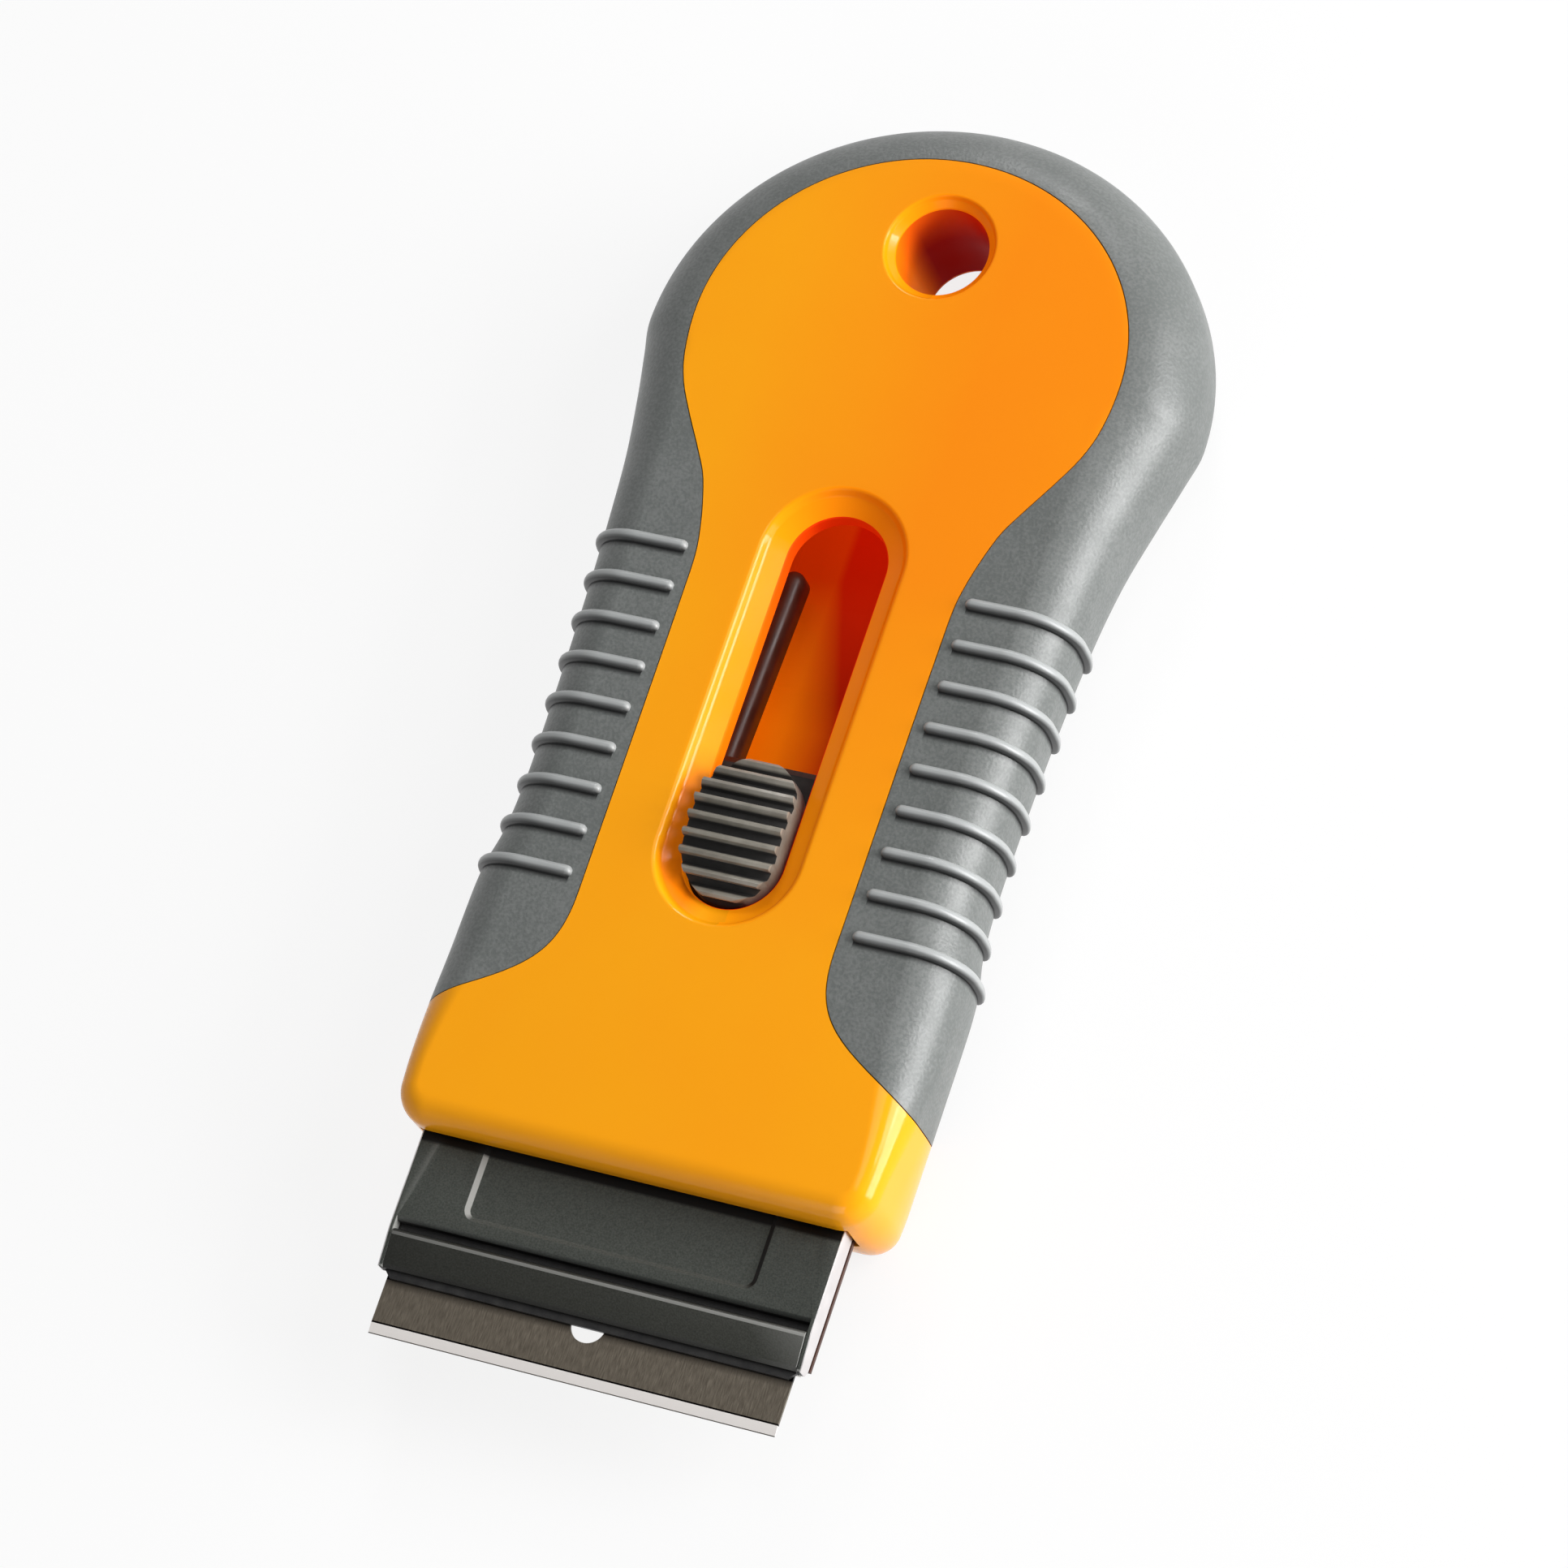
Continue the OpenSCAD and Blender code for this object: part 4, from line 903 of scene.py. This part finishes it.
# painted shade: the bar's coat is a darker copy of the plate's, for its face that slopes towards the
# blade
BAR_SHADED_GRAY, BAR_SHADED_LIGHT = (0.026, 0.027, 0.023), (0.04, 0.041, 0.036)
flank_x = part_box("clamp_plate")[1].x - mm(0.1)
plate_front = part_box("clamp_plate")[0].y
bar_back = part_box("clamp_bar")[1].y


def satin_coat(name, gray, light, line_start, line_end, shaded_from):
    """A speckled coat with a painted highlight along one edge and painted shade from shaded_from on."""
    coat, tree, shader = new_finish(name, gray, 0.42, Specular_IOR_Level=0.15)
    speckle = grain(tree, 0.16, detail=2)
    y, turned_x = place(tree, "Y"), turned(tree, "X")
    sheared = combine(tree, "GREATER_THAN", absolute(tree, place(tree, "X")), flank_x)
    # painted highlight: a light line along one edge
    highlight_line = product(tree, combine(tree, "GREATER_THAN", y, line_start),
                      combine(tree, "LESS_THAN", y, line_end), 0.6)
    # painted shade on faces turned to the front and the left, painted light on faces turned to the right
    turned_front = spread(tree, turned(tree, "Y"), 1, 0, -0.9, -0.6)
    turned_left = spread(tree, turned_x, 1, 0, -0.4, -0.15)
    turned_right = spread(tree, turned_x, 0, 1, 0.15, 0.4)
    shaded = spread(tree, y, 0, 1, shaded_from, shaded_from + mm(0.3))
    coated = layered(tree, gray, (spread(tree, speckle, 0, 1), light), (highlight_line, COAT_HIGHLIGHT),
                     (turned_front, COAT_SHADE), (turned_left, COAT_SHADE), (turned_right, COAT_HIGHLIGHT),
                     (shaded, COAT_SHADE), (sheared, SHEARED_STEEL))
    feed(shader, "Base Color", coated)
    feed(shader, "Metallic", sheared)
    feed(shader, "Roughness", spread(tree, grain(tree, 1.6, detail=4), 0.34, 0.46))
    raise_surface(tree, shader, speckle, 0.012)
    return coat


soften("clamp_plate", 0.08)
soften("clamp_bar", 0.08)
# the plate's painted shade from the mouth on is the lip's shadow; the bar's darkens its groove
plate_coat = satin_coat("satin_plate_finish", PLATE_GRAY, PLATE_LIGHT,
                        plate_front, plate_front + mm(0.2), front_y - mm(1))
bar_coat = satin_coat("satin_bar_finish", BAR_SHADED_GRAY, BAR_SHADED_LIGHT,
                      bar_back - mm(0.65), bar_back - mm(0.35), bar_back - mm(0.3))
coat_nodes(["clamp_plate"], plate_coat)
coat_nodes(["clamp_bar"], bar_coat)

# %% Black and bare sheet steel
BLACK_OXIDE, BLACK_RUBBED = (0.018, 0.018, 0.019), (0.035, 0.034, 0.033)
STEEL_DARK, STEEL_LIGHT = (0.44, 0.42, 0.39), (0.56, 0.54, 0.51)

black_steel, tree, shader = new_finish("black_steel_finish", BLACK_OXIDE, 0.4, Metallic=0.3)
mottle(tree, shader, grain(tree, 1.2, detail=5), BLACK_OXIDE, BLACK_RUBBED, 0.34, 0.5)
raise_surface(tree, shader, grain(tree, 0.1, detail=2), 0.003)
soften("upper_jaw", 0)
coat_nodes(["upper_jaw"], black_steel)

bare_steel, tree, shader = new_finish("bare_steel_finish", (0.5, 0.48, 0.45), 0.35, Metallic=1.0)
rolled = grain(tree, 0.15, detail=3, stretch=(25, 1, 1))
mottle(tree, shader, rolled, STEEL_DARK, STEEL_LIGHT, 0.28, 0.42)
raise_surface(tree, shader, rolled, 0.003)
soften("lower_jaw", 0)
coat_nodes(["lower_jaw"], bare_steel)

# %% [markdown]
# ## The leaf spring
#
# A strip of spring steel, bowed like a low bridge, lifts the button. It is out of sight, but it
# gives way when the button goes down, which a rigid solid can't. A strip of the same size, swept
# along the same arc, stands for it.

# %% The leaf spring
SPRING_T, BUTTON_TRAVEL, STRIP_STEPS = 0.3, 1.0, 24

spring_low, spring_high = (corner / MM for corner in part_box("button_spring"))
half_span, rise = (spring_high.y - spring_low.y) / 2, spring_high.z - spring_low.z
spring_mid = spring_low.y + half_span
bend_r = (half_span**2 + rise**2) / (2 * rise)
outer_sweep = math.asin(half_span / bend_r)
inner_sweep = math.acos((bend_r - rise) / (bend_r - SPRING_T))


def strip_ring(share):
    """The strip's cross-section, at a share of the way from its middle to a foot."""
    (y_out, z_out), (y_in, z_in) = (
        (spring_mid + r * math.sin(share * sweep), spring_high.z - bend_r + r * math.cos(share * sweep))
        for r, sweep in ((bend_r, outer_sweep), (bend_r - SPRING_T, inner_sweep)))
    left, right = spring_low.x, spring_high.x
    return [(left, y_out, z_out), (right, y_out, z_out), (right, y_in, z_in), (left, y_in, z_in)]


strip = [strip_ring(k / STRIP_STEPS) for k in range(-STRIP_STEPS, STRIP_STEPS + 1)]
leaf_spring = ring_solid("leaf_spring", strip)
smooth_piece(leaf_spring, bare_steel, "button_spring", body="carriage")
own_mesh(leaf_spring)
print("leaf spring", round(2 * half_span, 2), "mm long, rises", round(rise, 2), "mm")

# %% [markdown]
# ## Fasteners
#
# Screws, rivets and studs are zinc plated. Zinc has a faint blue-gray cast and a fine crystalline
# mottling, so the colour and the gloss change every half millimetre or so.

# %% Zinc plate
ZINC_DARK, ZINC_LIGHT = (0.6, 0.61, 0.63), (0.74, 0.74, 0.72)
FASTENERS = ("cover_screws", "locating_studs", "jaw_rivets", "bar_rivets")

zinc, tree, shader = new_finish("zinc_plate_finish", (0.66, 0.67, 0.68), 0.3, Metallic=1.0)
mottle(tree, shader, grain(tree, 0.5, detail=4), ZINC_DARK, ZINC_LIGHT, 0.22, 0.38)
raise_surface(tree, shader, grain(tree, 0.12, detail=2), 0.003)
for name in FASTENERS:
    soften(name, 0)
coat_nodes(FASTENERS, zinc)

# %% [markdown]
# ## Carrier and thumb button
#
# The carrier is dark brown nylon, slightly waxy. The button is warm gray plastic with a satin
# mould texture, rubbed smoother on top of its ridges, where the thumb runs. Its grooves are
# darkened with painted shade.

# %% Brown nylon
BROWN, BROWN_LIGHT = (0.042, 0.012, 0.006), (0.064, 0.024, 0.014)

brown_nylon, tree, shader = new_finish("brown_nylon_finish", BROWN, 0.35,
                                       IOR=1.5, Specular_IOR_Level=0.3)
waxy = spread(tree, grain(tree, 3, detail=4), 0, 1)
feed(shader, "Base Color", blend_colours(tree, waxy, BROWN, BROWN_LIGHT))
feed(shader, "Roughness", spread(tree, grain(tree, 1.5, detail=3), 0.28, 0.4))
raise_surface(tree, shader, grain(tree, 0.3, detail=2), 0.006)
soften("carrier", 0.1)
coat_nodes(["carrier"], brown_nylon)

# %% Warm gray plastic of the button
BUTTON_GRAY = (0.19, 0.175, 0.145)
BUTTON_RUBBED = (0.27, 0.25, 0.212)
BUTTON_GROOVE_SHADE = (0.01, 0.009, 0.008)
CROWN_R, CROWN_TOP = mm(11.12), mm(15.6)
button_mid_y = sum(corner.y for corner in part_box("thumb_button")) / 2

button_plastic, tree, shader = new_finish("gray_plastic_finish", BUTTON_GRAY, 0.34, IOR=1.5)
along = combine(tree, "SUBTRACT", place(tree, "Y"), button_mid_y)
above = combine(tree, "SUBTRACT", place(tree, "Z"), CROWN_TOP - CROWN_R)
reach = combine(tree, "SQRT", combine(tree, "ADD", product(tree, along, along),
                                      product(tree, above, above)), 0)
rubbed = blend_colours(tree, spread(tree, grain(tree, 1.5, detail=4), 0, 1), BUTTON_GRAY, BUTTON_RUBBED)
# painted shade: dark in the grooves between the ridges, but not on the flanks
out_of_grooves = spread(tree, reach, 0, 1, CROWN_R - mm(0.62), CROWN_R - mm(0.32))
on_flank = spread(tree, absolute(tree, turned(tree, "X")), 0, 0.6, 0.3, 0.6)
unshaded = combine(tree, "MAXIMUM", out_of_grooves, on_flank)
feed(shader, "Base Color", blend_colours(tree, unshaded, BUTTON_GROOVE_SHADE, rubbed))
satin = spread(tree, grain(tree, 1, detail=3), 0.3, 0.42)
dull = product(tree, combine(tree, "SUBTRACT", 1, unshaded), 0.5)
feed(shader, "Roughness", combine(tree, "ADD", satin, dull))
raise_surface(tree, shader, grain(tree, 0.15, detail=2), 0.008)
soften("thumb_button", 0.12)
coat_nodes(["thumb_button"], button_plastic)

# %% [markdown]
# ## The floor and the studio
#
# The photograph shows the tool on plain white. A white floor and a white world give that. The
# Light Path node shows both as white to the camera and to reflections, and the floor still
# darkens a little where the tool shades it. The light on the tool stays at a plain level.

# %% Floor
FLOOR_SHOWN_WHITE, FLOOR_SIZE = 0.84, 4

bpy.ops.mesh.primitive_grid_add(x_subdivisions=2, y_subdivisions=2, size=FLOOR_SIZE)
floor = bpy.context.object
floor.name = "studio_floor"
paper, tree, shader = new_finish("white_paper", (0.9, 0.9, 0.9), 0.9, Specular_IOR_Level=0)


def seen_directly(tree):
    """1 for rays from the camera, from reflections and through glass, and 0 for the rest."""
    path = tree.nodes.new("ShaderNodeLightPath")
    mirrored = combine(tree, "MAXIMUM", path.outputs["Is Camera Ray"], path.outputs["Is Glossy Ray"])
    return combine(tree, "MAXIMUM", mirrored, path.outputs["Is Transmission Ray"])


glow = tree.nodes.new("ShaderNodeEmission")
glow.inputs["Strength"].default_value = 1
mixed = tree.nodes.new("ShaderNodeMixShader")
tree.links.new(product(tree, seen_directly(tree), FLOOR_SHOWN_WHITE), mixed.inputs[0])
tree.links.new(shader.outputs[0], mixed.inputs[1])
tree.links.new(glow.outputs[0], mixed.inputs[2])
tree.links.new(mixed.outputs[0], tree.nodes["Material Output"].inputs["Surface"])
floor.data.materials.append(paper)
print("floor:", FLOOR_SIZE, "m wide")

# %% World
WORLD_FILL, CEILING_SEEN = 0.14, 0.35

world = bpy.data.worlds.new("studio_white")
world.use_nodes = True
bpy.context.scene.world = world
tree = world.node_tree
background = tree.nodes["Background"]
background.inputs["Color"].default_value = (1, 1, 1, 1)
direction = tree.nodes.new("ShaderNodeTexCoord")
heights = tree.nodes.new("ShaderNodeSeparateXYZ")
tree.links.new(direction.outputs["Generated"], heights.inputs[0])
ceiling = spread(tree, heights.outputs["Z"], 1, CEILING_SEEN, 0.2, 0.6)
path = tree.nodes.new("ShaderNodeLightPath")
straight = combine(tree, "MAXIMUM", path.outputs["Is Camera Ray"], path.outputs["Is Transmission Ray"])
mirrored = product(tree, path.outputs["Is Glossy Ray"], ceiling)
shown = combine(tree, "MAXIMUM", straight, mirrored)
tree.links.new(combine(tree, "MAXIMUM", shown, WORLD_FILL), background.inputs["Strength"])
print("world fill:", WORLD_FILL, "and the ceiling seen in gloss:", CEILING_SEEN)

# %% [markdown]
# ## Lamps
#
# The photograph is lit from the upper right: the right shoulder has a broad soft band, faces that
# look to the left are dark, and each rib throws a short shadow towards the blade. The strongest
# lamp is large and stands low at the right. A key lamp above it and three weak ones, at the mouth,
# at the head and overhead, draw the bevel, the ribs and the edges.

# %% Area lamps
def softbox(name, at, size, power):
    """A square area lamp that looks at the middle of the tool."""
    lamp = bpy.data.lights.new(name, "AREA")
    lamp.shape = "SQUARE"
    lamp.size = size
    lamp.energy = power
    holder = bpy.data.objects.new(name, lamp)
    bpy.context.scene.collection.objects.link(holder)
    holder.location = at
    holder.rotation_mode = "QUATERNION"
    holder.rotation_quaternion = (Vector((0, 0, 0)) - Vector(at)).to_track_quat("-Z", "Y")
    print("lamp", name, "at", at, "with", power, "W")


softbox("key_softbox", (0.5, 0.3, 0.42), 0.28, 2.1)
softbox("low_right_softbox", (0.66, 0.12, 0.2), 0.4, 6.2)
softbox("mouth_softbox", (-0.02, -0.5, 0.32), 0.3, 0.7)
softbox("head_softbox", (-0.1, 0.6, 0.4), 0.14, 1.1)
softbox("top_softbox", (0.1, 0.2, 0.66), 0.26, 0.5)

# %% [markdown]
# ## The camera
#
# The camera was solved from the ribs, the blade and the outline in the photograph. It looks down
# at the face from the right of the blade, and is turned a third of a right angle about its view.

# %% Camera
LOOKS_AT = Vector((mm(2.79), front_y + mm(37.56), mm(14.2)))
DISTANCE, LENS_MM, SENSOR_MM = 0.5574, 144.73, 36
AZIMUTH, ELEVATION, ROLL = math.radians(49.369), math.radians(62.415), math.radians(33.666)

lens = bpy.data.cameras.new("photo_camera")
lens.lens, lens.sensor_width = LENS_MM, SENSOR_MM
camera = bpy.data.objects.new("photo_camera", lens)
bpy.context.scene.collection.objects.link(camera)
back = Vector((math.sin(AZIMUTH) * math.cos(ELEVATION), -math.cos(AZIMUTH) * math.cos(ELEVATION),
               math.sin(ELEVATION)))
level_up = (Vector((0, 0, 1)) - back * back.z).normalized()
up = level_up * math.cos(ROLL) + level_up.cross(back) * math.sin(ROLL)
axes = Matrix((up.cross(back), up, back)).transposed().to_4x4()
camera.matrix_world = Matrix.Translation(LOOKS_AT + back * DISTANCE) @ axes
lens.clip_start, lens.clip_end = 0.05, 20
bpy.context.scene.camera = camera
print("camera at", [round(v, 4) for v in camera.location])

# %% [markdown]
# ## Colour
#
# The Standard view shows a colour as it is written.

# %% View settings
bpy.context.scene.view_settings.view_transform = "Standard"
